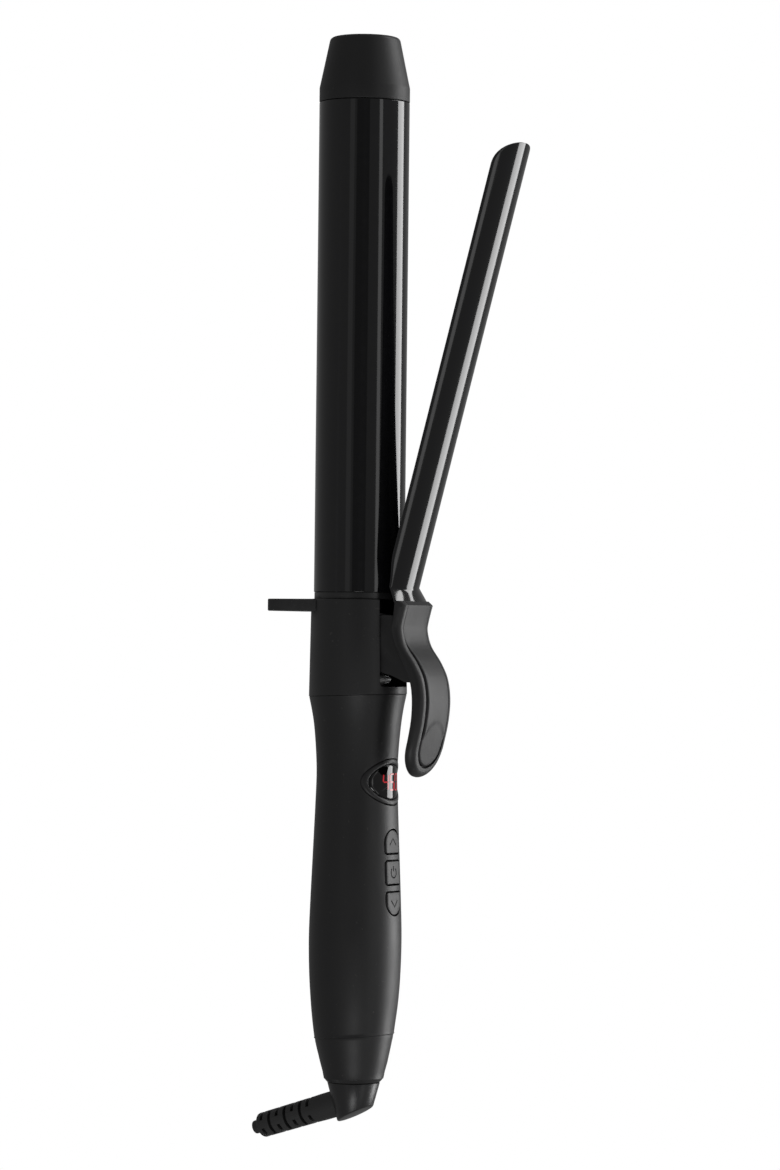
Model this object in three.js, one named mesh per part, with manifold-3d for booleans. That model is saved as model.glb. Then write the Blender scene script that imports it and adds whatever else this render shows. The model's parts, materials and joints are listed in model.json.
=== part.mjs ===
// Hair curling iron with a spring clamp, a digital display and a swivel cord exit.
// Millimetres. +Z runs up the barrel, the clamp and the buttons face -Y, and the
// origin is on the barrel's axis at the middle of the handle.
import * as THREE from 'three';
import { mergeVertices } from 'three/addons/utils/BufferGeometryUtils.js';
import Module from 'manifold-3d';

const wasm = await Module();
wasm.setup();

// Driving dimensions. Everything else follows from these.
const barrelRadius = 16; // a 1 1/4 inch barrel
const barrelWall = 1.5;
const barrelBottom = 97.9;
const barrelTop = 272.3;
const tipTop = 295.3;
const collarBottom = 61;
const collarTop = 95;
const handleTop = 60.7;
const handleBottom = -60.7;
const handleWall = 2.2;
const capBottom = -77;
const gap = 0.3; // clearance between neighbouring pieces
const roundSegments = 40;

// Clamp hinge, across the front of the collar.
const pivotY = -12.5;
const pivotZ = 82;
const openAngle = THREE.MathUtils.degToRad(15.5); // the clamp is shown open
const notchHalfWidth = 9.6;
const notchBack = 8.2;
const notchFloor = 63.8;
const cheekInner = 6.9;
const cheekOuter = 9.1;
const pinRadius = 1.5;
const boreRadius = pinRadius + gap;
const clampInner = 16.3;
const clampOuter = 17.2;
const clampTipZ = 263;
const clampHalfWidth = 11.6;
const leverHalfWidth = 11.6;
const leverTopZ = 94.2;
const leverChamfer = 2; // taken off the lever's upper front edge
const leverEndZ = 32;
const padHalfWidth = 8.3;
const padThickness = 1.2;

// Display and buttons, on the front of the handle.
const displayZ = 30.1;
const bezelHalfWidth = 11.9;
const bezelHalfHeight = 8.3;
const windowHalfWidth = 9.6;
const windowHalfHeight = 6.4;
const buttonHalfWidth = 4.75;
const buttonTravel = 0.8;
const boardFront = 5.2; // distance of the board's front from the axis
const boardThickness = 1.6;
const carrierFront = -3;
const buttons = [
  { name: 'up', low: 4.2, high: 13.1, roundEnd: 'top' },
  { name: 'power', low: -7, high: 2, roundEnd: 'none' },
  { name: 'down', low: -17.9, high: -9.2, roundEnd: 'bottom' },
];

// Swivel and strain relief.
const elbowTopRadius = 9.3;
const elbowTaper = THREE.MathUtils.degToRad(15);
const elbowSlope = THREE.MathUtils.degToRad(26.4);
const coreRadius = 5;
const bootDrop = THREE.MathUtils.degToRad(17.5);
const bootLength = 36.7;
const bootRootRadius = 4.75;
const bootEndRadius = 4.4;
const bootStart = [0, 3, -83.9];

// Outer radius of the handle at a few heights: [radius, height].
const handleWaist = [
  [14.15, handleBottom], [15.44, -50.3], [16.27, -38.9], [16.56, -26], [16.2, -13],
  [15.5, 4], [14.8, 21.2], [14.46, 32.6], [14.77, 41.2], [15.5, 49.8], [16.34, 55.5], [17.4, handleTop],
];

// ---- solids -------------------------------------------------------------------

function signedVolume(position, triangles) {
  let volume = 0;
  const corners = [new THREE.Vector3(), new THREE.Vector3(), new THREE.Vector3()];
  for (let i = 0; i < triangles.length; i += 3) {
    corners.forEach((corner, k) => corner.fromArray(position, 3 * triangles[i + k]));
    volume += corners[0].dot(corners[1].clone().cross(corners[2]));
  }
  return volume / 6;
}

// A three.js geometry as a closed solid that can be joined and cut.
function solid(geometry) {
  const bare = new THREE.BufferGeometry();
  bare.setAttribute('position', geometry.getAttribute('position'));
  if (geometry.index) bare.setIndex(geometry.index);
  const merged = mergeVertices(bare, 1e-4);
  const position = new Float32Array(merged.getAttribute('position').array);
  const source = merged.index.array;
  const triangles = [];
  for (let i = 0; i < source.length; i += 3) {
    const [a, b, c] = [source[i], source[i + 1], source[i + 2]];
    if (a !== b && b !== c && c !== a) triangles.push(a, b, c);
  }
  if (signedVolume(position, triangles) < 0) triangles.reverse();
  const mesh = new wasm.Mesh({
    numProp: 3, vertProperties: position, triVerts: new Uint32Array(triangles),
  });
  return new wasm.Manifold(mesh);
}

// Turns a profile of [radius, height] points about the Z axis.
function revolve(profile, segments = roundSegments) {
  const points = profile.map(([radius, height]) => new THREE.Vector2(radius, height));
  return solid(new THREE.LatheGeometry(points, segments).rotateX(Math.PI / 2));
}

// The same for a ring, whose profile closes on itself.
function revolveRing(profile, segments = roundSegments) {
  return revolve([...profile, profile[0]], segments);
}

function tube(inner, outer, low, high, segments = roundSegments) {
  return revolveRing([[inner, low], [outer, low], [outer, high], [inner, high]], segments);
}

function shapeOf(points) {
  return new THREE.Shape(points.map(([a, b]) => new THREE.Vector2(a, b)));
}

// Side outline of [distance to the front, height] points, spread along X.
function fromSide(points, xLow, xHigh) {
  const geometry = new THREE.ExtrudeGeometry(shapeOf(points), {
    depth: xHigh - xLow, bevelEnabled: false,
  });
  const toSide = new THREE.Matrix4().makeBasis(
    new THREE.Vector3(0, -1, 0), new THREE.Vector3(0, 0, 1), new THREE.Vector3(-1, 0, 0));
  return solid(geometry.applyMatrix4(toSide).translate(xHigh, 0, 0));
}

// Front outline of [x, height] points or a Shape, spread along Y.
function fromFront(outline, yLow, yHigh) {
  const shape = Array.isArray(outline) ? shapeOf(outline) : outline;
  const geometry = new THREE.ExtrudeGeometry(shape, {
    depth: yHigh - yLow, bevelEnabled: false, curveSegments: 12,
  });
  return solid(geometry.rotateX(Math.PI / 2).translate(0, yHigh, 0));
}

// Plan outline of [x, y] points or a Shape, spread along Z.
function fromAbove(outline, zLow, zHigh) {
  const shape = Array.isArray(outline) ? shapeOf(outline) : outline;
  const geometry = new THREE.ExtrudeGeometry(shape, {
    depth: zHigh - zLow, bevelEnabled: false, curveSegments: 8,
  });
  return solid(geometry.translate(0, 0, zLow));
}

function box(xLow, xHigh, yLow, yHigh, zLow, zHigh) {
  const geometry = new THREE.BoxGeometry(xHigh - xLow, yHigh - yLow, zHigh - zLow);
  return solid(geometry.translate((xLow + xHigh) / 2, (yLow + yHigh) / 2, (zLow + zHigh) / 2));
}

// A round bar between two points.
function rod(radius, from, to, segments = 20) {
  const start = new THREE.Vector3(...from);
  const along = new THREE.Vector3(...to).sub(start);
  const geometry = new THREE.CylinderGeometry(radius, radius, along.length(), segments);
  const turn = new THREE.Quaternion().setFromUnitVectors(
    new THREE.Vector3(0, 1, 0), along.clone().normalize());
  geometry.applyQuaternion(turn);
  geometry.translate(...start.addScaledVector(along, 0.5).toArray());
  return solid(geometry);
}

// A screw along Y: a shank with a wider head at yHead.
function screwAlongY(x, z, yHead, yTip, shankRadius, headRadius, headHeight) {
  const towards = Math.sign(yTip - yHead);
  const shoulder = yHead + towards * headHeight;
  const head = rod(headRadius, [x, yHead, z], [x, shoulder, z], 16);
  return head.add(rod(shankRadius, [x, shoulder - towards * 0.2, z], [x, yTip, z], 12));
}

// A round wire along a smooth path.
function wire(points, radius, steps) {
  const path = new THREE.CatmullRomCurve3(points.map((p) => new THREE.Vector3(...p)));
  const section = new THREE.Shape().absarc(0, 0, radius, 0, 2 * Math.PI, false);
  return solid(new THREE.ExtrudeGeometry(section, {
    steps, extrudePath: path, curveSegments: 3, bevelEnabled: false,
  }));
}

function finish(color, roughness, metalness) {
  return new THREE.MeshStandardMaterial({ color, roughness, metalness });
}

const finishes = {
  mattePlastic: finish(0x262628, 0.55, 0),
  capPlastic: finish(0x1f1f21, 0.5, 0),
  glossPlastic: finish(0x0c0c0e, 0.12, 0),
  barrelCoat: finish(0x0d0d10, 0.18, 0.6),
  clampMetal: finish(0x121215, 0.2, 0.7),
  aluminium: finish(0xb9bcc2, 0.4, 0.9),
  steel: finish(0x9a9ca0, 0.35, 1),
  brass: finish(0xc9a24a, 0.35, 1),
  ceramic: finish(0xe8e4da, 0.7, 0),
  board: finish(0x1d5b33, 0.6, 0),
  component: finish(0x202226, 0.6, 0),
  leadWhite: finish(0xe3e0d8, 0.6, 0),
  leadRed: finish(0xa8241f, 0.6, 0),
  rubber: finish(0x1b1b1c, 0.8, 0),
};

// A manifold as a named mesh.
function piece(name, manifold, material) {
  const { vertProperties, triVerts } = manifold.getMesh();
  const geometry = new THREE.BufferGeometry();
  geometry.setAttribute('position', new THREE.BufferAttribute(new Float32Array(vertProperties), 3));
  geometry.setIndex(new THREE.BufferAttribute(new Uint32Array(triVerts), 1));
  geometry.computeVertexNormals();
  const mesh = new THREE.Mesh(geometry, material);
  mesh.name = name;
  return mesh;
}

// ---- handle surface --------------------------------------------------------------

const waistCurve = new THREE.SplineCurve(handleWaist.map(([r, z]) => new THREE.Vector2(r, z)));
const waistPoints = waistCurve.getPoints(15);

// The handle's surface moved outwards by `offset`, as a solid between two heights.
function handleCore(offset) {
  const wall = waistPoints.map((point) => [point.x + offset, point.y]);
  return revolve([[0, wall[0][1]], ...wall, [0, wall[wall.length - 1][1]]]);
}

// An eye: two arcs that meet at rounded corners left and right.
function eyeOutline(halfWidth, halfHeight) {
  return new THREE.Shape().absellipse(0, displayZ, halfWidth, halfHeight, 0, 2 * Math.PI, false);
}

// A button's face: square, or with one end rounded off.
function buttonOutline(button, grow) {
  const half = buttonHalfWidth + grow;
  const low = button.low - grow;
  const high = button.high + grow;
  const shape = new THREE.Shape();
  if (button.roundEnd === 'top') {
    shape.moveTo(-half, low).lineTo(half, low).lineTo(half, high - half);
    shape.absarc(0, high - half, half, 0, Math.PI, false);
  } else if (button.roundEnd === 'bottom') {
    shape.moveTo(half, high).lineTo(-half, high).lineTo(-half, low + half);
    shape.absarc(0, low + half, half, Math.PI, 2 * Math.PI, false);
  } else {
    shape.moveTo(-half, low).lineTo(half, low).lineTo(half, high).lineTo(-half, high);
  }
  return shape;
}

// ---- barrel ------------------------------------------------------------------------

function barrelPieces() {
  const inner = barrelRadius - barrelWall;
  const plug = inner - gap;
  const tip = revolve([
    [0, 276], [plug - 1.8, 276], [plug - 1.8, 262.6], [plug, 262.6], [plug, barrelTop + gap],
    [16.18, barrelTop + gap], [16.18, 277.5], [12.9, 293.2], [12.4, 294.5], [11.4, tipTop], [0, tipTop],
  ]);
  const mount = revolveRing([
    [5.2, 87.4], [12.1, 87.4], [12.1, 88.6], [11.2, 88.6], [11.2, 90.4], [12.1, 90.4],
    [12.1, barrelBottom], [plug, barrelBottom], [plug, 110], [5.2, 110],
  ]).subtract(box(-20, 20, -20, -6, 80, collarTop + 0.1));
  const retainer = tube(11.5, 14.4, 88.9, 90.1).subtract(box(-20, 20, -20, -5.7, 80, 95));
  return [
    piece('cool_tip', tip, finishes.mattePlastic),
    piece('barrel', tube(inner, barrelRadius, barrelBottom, barrelTop), finishes.barrelCoat),
    piece('heat_ring', tube(12.4, 15.8, collarTop + gap, barrelBottom - gap), finishes.capPlastic),
    piece('barrel_mount', mount, finishes.steel),
    piece('barrel_retainer', retainer, finishes.steel),
  ];
}

// Ceramic heater between two half-round aluminium spreaders, with its sensor and fuse.
function heaterPieces() {
  const outer = barrelRadius - barrelWall - gap;
  const low = 128;
  const high = 252;
  const spreader = tube(outer - 2, outer, low, high)
    .add(box(-outer + 1, outer - 1, 1.5, 3.5, low, high))
    .intersect(box(-20, 20, 1.5, 20, low, high));
  return [
    piece('heater_plate', box(-6, 6, -1.2, 1.2, low + 2, high - 4), finishes.ceramic),
    piece('heat_spreader_back', spreader, finishes.aluminium),
    piece('heat_spreader_front', spreader.rotate([0, 0, 180]), finishes.aluminium),
    piece('thermistor', rod(1.2, [0, 5.1, 180], [0, 5.1, 188], 12), finishes.ceramic),
    piece('thermal_fuse', rod(2, [5, 6.2, 140], [5, 6.2, 152], 14), finishes.steel),
  ];
}

// ---- collar and hinge ----------------------------------------------------------------

function collarPieces() {
  const linerHalf = notchHalfWidth + 1.8;
  const linerBack = -(notchBack - 1.8);
  const skin = revolve([
    [0, collarBottom], [17.5, collarBottom], [17.05, 93.8], [16.5, collarTop], [0, collarTop],
  ]);
  const liner = box(-linerHalf, linerHalf, -20, linerBack, notchFloor - 1.8, collarTop);
  const cavity = revolve([[0, 60], [15, 60], [15, 90.4], [0, 90.4]]).subtract(liner);
  const notch = box(-notchHalfWidth, notchHalfWidth, -20, -notchBack, notchFloor, 99);
  const footSlot = box(-8.3, 8.3, 13.4, 20, 91.7, 94.3);
  let collar = skin.subtract(cavity).subtract(notch).subtract(footSlot)
    .subtract(rod(12.4, [0, 0, 90], [0, 0, 99], roundSegments));
  for (const x of [-5.35, 5.35]) {
    collar = collar.subtract(rod(1.1, [x, linerBack + 1, 78.7], [x, -notchBack - 1, 78.7], 12));
  }
  return [
    piece('collar', collar, finishes.mattePlastic),
    piece('stand_foot', standFoot(), finishes.mattePlastic),
    piece('lever_stop', leverStop(), finishes.rubber),
  ];
}

// Flat rest at the back, with a tenon that goes into the collar.
function standFoot() {
  const shape = new THREE.Shape();
  shape.moveTo(-14.5, 8).lineTo(14.5, 8).lineTo(14.5, 27.2);
  shape.absarc(11.5, 27.2, 3, 0, Math.PI / 2, false);
  shape.lineTo(-11.5, 30.2);
  shape.absarc(-11.5, 27.2, 3, Math.PI / 2, Math.PI, false);
  const plate = fromAbove(shape, 91.3, 94.9).subtract(rod(17.4, [0, 0, 80], [0, 0, 99], roundSegments));
  return plate.add(box(-8, 8, 13.9, 18.6, 92, 94));
}

function leverStop() {
  const peg = revolve([[0, 0], [1.8, 0], [1.8, 4.2], [1.3, 5], [0, 5.3]], 20);
  return peg.rotate([90, 0, 0]).translate([0, -notchBack - gap, 66.5]);
}

function hingePieces() {
  const block = box(-6.3, 6.3, -15.8, -notchBack - gap, 77, 87)
    .subtract(box(-4.4, 4.4, -20, -9.3, 70, 95))
    .subtract(rod(boreRadius, [-10, pivotY, pivotZ], [10, pivotY, pivotZ]));
  const pin = rod(pinRadius, [-9.2, pivotY, pivotZ], [9.2, pivotY, pivotZ]);
  const screws = [-5.35, 5.35].map((x, i) => {
    const screw = screwAlongY(x, 78.7, -2.8, -12.2, 0.8, 1.9, 1.4);
    return piece(`hinge_screw_${i + 1}`, screw, finishes.steel);
  });
  let cleared = block;
  for (const x of [-5.35, 5.35]) cleared = cleared.subtract(rod(1.1, [x, -8, 78.7], [x, -12.6, 78.7], 12));
  return [
    piece('hinge_block', cleared, finishes.steel),
    piece('hinge_pin', pin, finishes.steel),
    ...screws,
  ];
}

// Torsion spring round the pin: one leg on the notch's back wall, one behind the lever.
function clampSpring() {
  const coilRadius = 2.4;
  const halfSpan = 3.4;
  const start = Math.PI;
  const end = THREE.MathUtils.degToRad(54 - 4 * 360);
  const points = [[-halfSpan, -9.2, 72.4], [-halfSpan, -9.6, 76], [-halfSpan, -10, 79.6]];
  const coilPoints = 44;
  for (let i = 0; i <= coilPoints; i += 1) {
    const t = i / coilPoints;
    const angle = start + t * (end - start);
    const x = halfSpan * (2 * t - 1);
    points.push([x, pivotY - coilRadius * Math.cos(angle), pivotZ + coilRadius * Math.sin(angle)]);
  }
  points.push([halfSpan, -16.3, 82.2], [halfSpan, -19.7, 79.7]);
  return piece('clamp_spring', wire(points, 0.45, 84), finishes.steel);
}

// ---- clamp ---------------------------------------------------------------------------

// Front of the lever with the clamp open: [distance to the front, height].
const leverFront = new THREE.SplineCurve([
  [24.6, leverTopZ - leverChamfer], [23.2, 87], [22.9, 84.1], [24.5, 78.4], [28.5, 72.7], [31.3, 67],
  [32.4, 60], [31.9, 52.7], [30.4, 45.5], [28.3, 38], [26.6, leverEndZ],
].map(([f, z]) => new THREE.Vector2(f, z))).getPoints(20).map((p) => [p.x, p.y]);

const leverBack = new THREE.SplineCurve([
  [23.6, leverEndZ], [25.2, 39.5], [27.4, 46.5], [28.5, 55], [28, 62.5], [26.2, 70], [22.6, 76],
  [20, 81], [19.4, 87], [20.5, leverTopZ],
].map(([f, z]) => new THREE.Vector2(f, z))).getPoints(16).map((p) => [p.x, p.y]);

function leverOutline(halfWidth, low, high, endHeight) {
  const shape = new THREE.Shape();
  shape.moveTo(halfWidth, low + endHeight).lineTo(halfWidth, high).lineTo(-halfWidth, high);
  shape.lineTo(-halfWidth, low + endHeight);
  shape.absellipse(0, low + endHeight, halfWidth, endHeight, Math.PI, 2 * Math.PI, false);
  return shape;
}

// The strip of the lever that lies within `depth` of its front face.
function frontStrip(proud, depth, outline) {
  const strip = [
    ...leverFront.map(([f, z]) => [f + proud, z]),
    ...leverFront.slice().reverse().map(([f, z]) => [f - depth, z]),
  ];
  return fromSide(strip, -leverHalfWidth - 1, leverHalfWidth + 1)
    .intersect(fromFront(outline, -40, 0));
}

function cheekOutline() {
  return [
    [27.4, 66.2], [26, 65.6], [24.2, 65.7], [19, 67.9], [15.5, 68.6], [13.5, 70], [11, 74.5],
    [9.3, 79.5], [8.8, 82], [9.1, 84.7], [10.2, 87], [12, 88.6], [15, 89.4], [21, 89.2], [26, 74],
  ];
}

function leverPieces() {
  const chamferTop = [leverFront[0][0] - leverChamfer, leverTopZ];
  const blade = fromSide([chamferTop, ...leverFront, ...leverBack], -leverHalfWidth, leverHalfWidth)
    .intersect(fromFront(leverOutline(leverHalfWidth, leverEndZ, 99, 11), -40, 0));
  // The cheeks end inside the blade: what would show in front of it is cut off.
  const ahead = fromSide([...leverFront, [60, leverEndZ], [60, leverTopZ]], -20, 20);
  let lever = blade;
  for (const side of [-1, 1]) {
    const [low, high] = side < 0 ? [-cheekOuter, -cheekInner] : [cheekInner, cheekOuter];
    lever = lever.add(fromSide(cheekOutline(), low, high).subtract(ahead));
  }
  const padOutline = leverOutline(padHalfWidth, 35.2, 79, 8);
  const recess = leverOutline(padHalfWidth + gap, 35.2 - gap, 79 + gap, 8 + gap);
  const rivetX = 4;
  const rivetZ = 89.4;
  lever = lever.subtract(frontStrip(2, padThickness + gap, recess))
    .subtract(box(-7.3, 7.3, -22.6, -20.5, 86.2, 99))
    .subtract(rod(boreRadius, [-12, pivotY, pivotZ], [12, pivotY, pivotZ]));
  const rivets = [-rivetX, rivetX].map((x, i) => {
    lever = lever.subtract(rod(1.2, [x, -18, rivetZ], [x, -23, rivetZ], 12));
    return piece(`clamp_rivet_${i + 1}`, screwAlongY(x, rivetZ, -17.7, -22.7, 0.9, 1.9, 1.1), finishes.steel);
  });
  return [
    piece('lever_body', lever, finishes.mattePlastic),
    piece('lever_pad', frontStrip(0, padThickness, padOutline), finishes.mattePlastic),
    clampPlate(rivetX, rivetZ),
    ...rivets,
  ];
}

// Sprung plate that follows the barrel, made closed and then turned open about the pin.
function clampPlate(rivetX, rivetZ) {
  const flare = [clampOuter + 2.3, 96.9];
  const wall = clampOuter - clampInner;
  const shell = revolveRing([
    [flare[0] - 1, flare[1]], flare, [clampOuter, 100.3], [clampOuter, clampTipZ + 1],
    [clampInner, clampTipZ + 1], [clampInner, 100.3],
  ], 144);
  const outline = new THREE.Shape();
  outline.moveTo(-10.4, 90).lineTo(10.4, 90).lineTo(10.6, 101).lineTo(clampHalfWidth, 110);
  outline.lineTo(clampHalfWidth, clampTipZ - 10);
  outline.absellipse(0, clampTipZ - 10, clampHalfWidth, 10, 0, Math.PI, false);
  outline.lineTo(-clampHalfWidth, 110).lineTo(-10.6, 101);
  const degrees = THREE.MathUtils.radToDeg(openAngle);
  const tongue = box(-7, 7, -22.3, -21.4, 86.6, 95)
    .translate([0, -pivotY, -pivotZ]).rotate([-degrees, 0, 0]);
  let plate = shell.intersect(fromFront(outline, -30, -5))
    .translate([0, -pivotY, -pivotZ]).add(tongue);
  for (const x of [-rivetX, rivetX]) {
    const hole = rod(1.2, [x, -19, rivetZ], [x, -24, rivetZ], 12);
    plate = plate.subtract(hole.translate([0, -pivotY, -pivotZ]).rotate([-degrees, 0, 0]));
  }
  const hinged = new THREE.Group();
  hinged.position.set(0, pivotY, pivotZ);
  hinged.rotation.x = openAngle;
  hinged.add(piece('clamp_plate', plate, finishes.clampMetal));
  return hinged;
}

// ---- handle --------------------------------------------------------------------------

function handleShell() {
  const inside = waistPoints.filter((p) => p.y > -57 && p.y < 46)
    .map((p) => [p.x - handleWall, p.y]).reverse();
  const lowest = inside[inside.length - 1][0];
  let shell = revolveRing([
    ...waistPoints.map((p) => [p.x, p.y]), [14.7, handleTop], [14.7, 66], [13, 66], [13, 48],
    ...inside, [lowest, handleBottom],
  ]);
  shell = shell.subtract(box(-12.2, 12.2, -20, -5.9, handleTop + 0.1, 70))
    .subtract(fromFront(eyeOutline(bezelHalfWidth + gap, bezelHalfHeight + gap), -20, -3));
  for (const button of buttons) {
    shell = shell.subtract(fromFront(buttonOutline(button, gap), -20, -6));
  }
  return piece('handle_shell', shell, finishes.mattePlastic);
}

function displayPieces() {
  const bezel = fromFront(eyeOutline(bezelHalfWidth, bezelHalfHeight), -20, -3)
    .subtract(fromFront(eyeOutline(windowHalfWidth + gap, windowHalfHeight + gap), -21, -2))
    .intersect(handleCore(0.4)).subtract(handleCore(-1.8));
  const pane = fromFront(eyeOutline(windowHalfWidth, windowHalfHeight), -20, -3)
    .intersect(handleCore(0.1)).subtract(handleCore(-1.3));
  return [
    piece('display_bezel', bezel, finishes.mattePlastic),
    piece('display_window', pane, finishes.glossPlastic),
    piece('display_module', box(-7.4, 7.4, -9.4, -5.5, 25, 35.4), finishes.component),
  ];
}

// Cap, stem and inner flange in one; the cap's face follows the handle.
function buttonPiece(button) {
  const flangeBack = -10.4;
  const cap = fromFront(buttonOutline(button, 0), -20, flangeBack).intersect(handleCore(0.4));
  const flange = box(-5.5, 5.5, flangeBack - 1, flangeBack, button.low - 0.6, button.high + 0.6);
  return piece(`${button.name}_button`, cap.add(flange), finishes.mattePlastic);
}

function tactSwitch(button) {
  const z = (button.low + button.high) / 2;
  const top = 10.4 - buttonTravel - gap;
  const body = box(-3, 3, -top + 0.8, -boardFront - gap, z - 3, z + 3);
  return piece(`${button.name}_switch`, body.add(rod(1.5, [0, -6, z], [0, -top, z], 14)), finishes.component);
}

function boardPieces() {
  const boardBack = boardFront - boardThickness;
  const posts = [[-6.3, -20], [6.3, -20], [-6.3, 40], [6.3, 40]];
  let board = box(-8.5, 8.5, -boardFront, -boardBack, -24, 44);
  let carrier = fromSide([
    [6.1, 86.5], [4.5, 86.5], [4.5, 56], [carrierFront - 1.6, 56], [carrierFront - 1.6, -54],
    [carrierFront, -54], [carrierFront, 54.4], [6.1, 54.4],
  ], -8, 8).subtract(box(-5, 5, -3, 2.7, 50, 60));
  const screws = posts.map(([x, z], i) => {
    board = board.subtract(rod(1.2, [x, -boardFront - 1, z], [x, -boardBack + 1, z], 12));
    carrier = carrier.add(rod(1.7, [x, -carrierFront + 0.5, z], [x, -boardBack + gap, z], 16))
      .subtract(rod(1.1, [x, -boardBack - 1, z], [x, 2, z], 12));
    const screw = screwAlongY(x, z, -boardFront - 1.4, 1.5, 0.8, 1.7, 1.1);
    return piece(`board_screw_${i + 1}`, screw, finishes.steel);
  });
  for (const x of [-5.35, 5.35]) carrier = carrier.subtract(rod(1.1, [x, -3, 78.7], [x, -7, 78.7], 12));
  return [
    piece('inner_carrier', carrier, finishes.capPlastic),
    piece('control_board', board, finishes.board),
    ...screws,
    piece('capacitor', rod(2.8, [0, -0.3, -16], [0, -0.3, -4], 20), finishes.component),
    piece('triac', box(-5, 5, -3.2, 1.2, 4, 19), finishes.component),
    piece('transformer', box(-6, 6, -3.2, 2.4, 23, 36), finishes.component),
  ];
}

function leadPieces() {
  const leads = [
    ['heater_lead_live', [[2.6, 0, 129.4], [2.6, 0, 110], [2.6, 0, 85], [2.8, 0, 62], [3, -2.2, 43]]],
    ['heater_lead_neutral', [[-2.6, 0, 129.4], [-2.6, 0, 110], [-2.6, 0, 85], [-2.8, 0, 62], [-3, -2.2, 43]]],
  ];
  const made = leads.map(([name, points]) => piece(name, wire(points, 0.9, 14), finishes.leadWhite));
  const sensor = wire([[0, 5.1, 179.6], [0, 5, 150], [0, 4.6, 126], [0, 3.4, 110], [0, 3.2, 88],
    [0, 1, 66], [0, -1.6, 48]], 0.7, 18);
  const supplies = [-1, 1].map((side) => wire([[side * 7.4, 0, -60.6], [side * 7.2, 0, -52],
    [side * 5, -0.6, -40], [side * 4, -2.2, -26]], 0.9, 12));
  return [
    ...made,
    piece('sensor_lead', sensor, finishes.leadWhite),
    piece('supply_lead_live', supplies[1], finishes.leadRed),
    piece('supply_lead_neutral', supplies[0], finishes.leadWhite),
  ];
}

// ---- end cap and swivel --------------------------------------------------------------

function capPieces() {
  const cap = revolveRing([
    [6.5, capBottom], [9.5, capBottom], [10.75, -75.7], [11.3, -73.2], [12.65, -67.5], [13.8, -61.7],
    [13.95, handleBottom - gap], [11.5, handleBottom - gap], [11.5, -56.5], [9.9, -56.5],
    [9.9, -73.5], [6.5, -73.5],
  ]);
  const brushes = [['live', 1, -65], ['neutral', -1, -70]].map(([name, side, z]) => {
    const arm = box(6.9, 8.5, -1.4, 1.4, z, z + 2.5).add(box(7.9, 8.5, -1.4, 1.4, z, -61));
    return piece(`brush_${name}`, side > 0 ? arm : arm.rotate([0, 0, 180]), finishes.brass);
  });
  return [piece('end_cap', cap, finishes.mattePlastic), ...brushes];
}

function swivelPieces() {
  const depth = 95;
  const bottomRadius = elbowTopRadius - (depth + capBottom) * Math.tan(elbowTaper);
  const elbowTop = capBottom - gap;
  const turned = revolve([
    [0, -depth], [bottomRadius, -depth], [elbowTopRadius, elbowTop], [6.2, elbowTop], [6.2, -73.8],
    [coreRadius, -73.8], [coreRadius, -60], [2.6, -60], [2.6, -81], [0, -81],
  ]);
  const below = fromSide([[20, -85.8 + (20 - 6.2) * Math.tan(elbowSlope)],
    [-20, -85.8 - (20 + 6.2) * Math.tan(elbowSlope)], [-20, -130], [20, -130]], -20, 20);
  const bootAngle = -90 - THREE.MathUtils.radToDeg(bootDrop);
  const socket = revolve([[0, -0.3], [bootRootRadius + gap, -0.3], [bootRootRadius + gap, 12], [0, 12]], 28)
    .rotate([bootAngle, 0, 0]).translate(bootStart);
  const boot = revolve([
    [0, 0], [bootRootRadius, 0], [bootEndRadius + 0.1, bootLength - 1], [bootEndRadius - 0.6, bootLength],
    [2.4, bootLength], [2.4, bootLength + 3], [0, bootLength + 3],
  ], 28);
  const bootMesh = piece('cord_boot', boot, finishes.rubber);
  bootMesh.position.set(...bootStart);
  bootMesh.rotation.x = THREE.MathUtils.degToRad(bootAngle);
  return [
    piece('swivel_elbow', turned.subtract(below).subtract(socket), finishes.mattePlastic),
    piece('swivel_clip', tube(coreRadius + gap, 9.2, -73.2, -72), finishes.steel),
    piece('slip_ring_live', tube(coreRadius + gap, 6.5, -65, -62.5, 32), finishes.brass),
    piece('slip_ring_neutral', tube(coreRadius + gap, 6.5, -70, -67.5, 32), finishes.brass),
    bootMesh,
  ];
}

// ---- assembly ------------------------------------------------------------------------

const curlingIron = new THREE.Group();
curlingIron.add(
  ...barrelPieces(), ...heaterPieces(), ...collarPieces(), ...hingePieces(), clampSpring(),
  ...leverPieces(), handleShell(), ...displayPieces(),
  ...buttons.map(buttonPiece), ...buttons.map(tactSwitch),
  ...boardPieces(), ...leadPieces(), ...capPieces(), ...swivelPieces(),
);
curlingIron.updateMatrixWorld(true);

export default curlingIron;
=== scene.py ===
import bmesh
import bpy
import json
import math
from mathutils import Matrix, Vector


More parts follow.
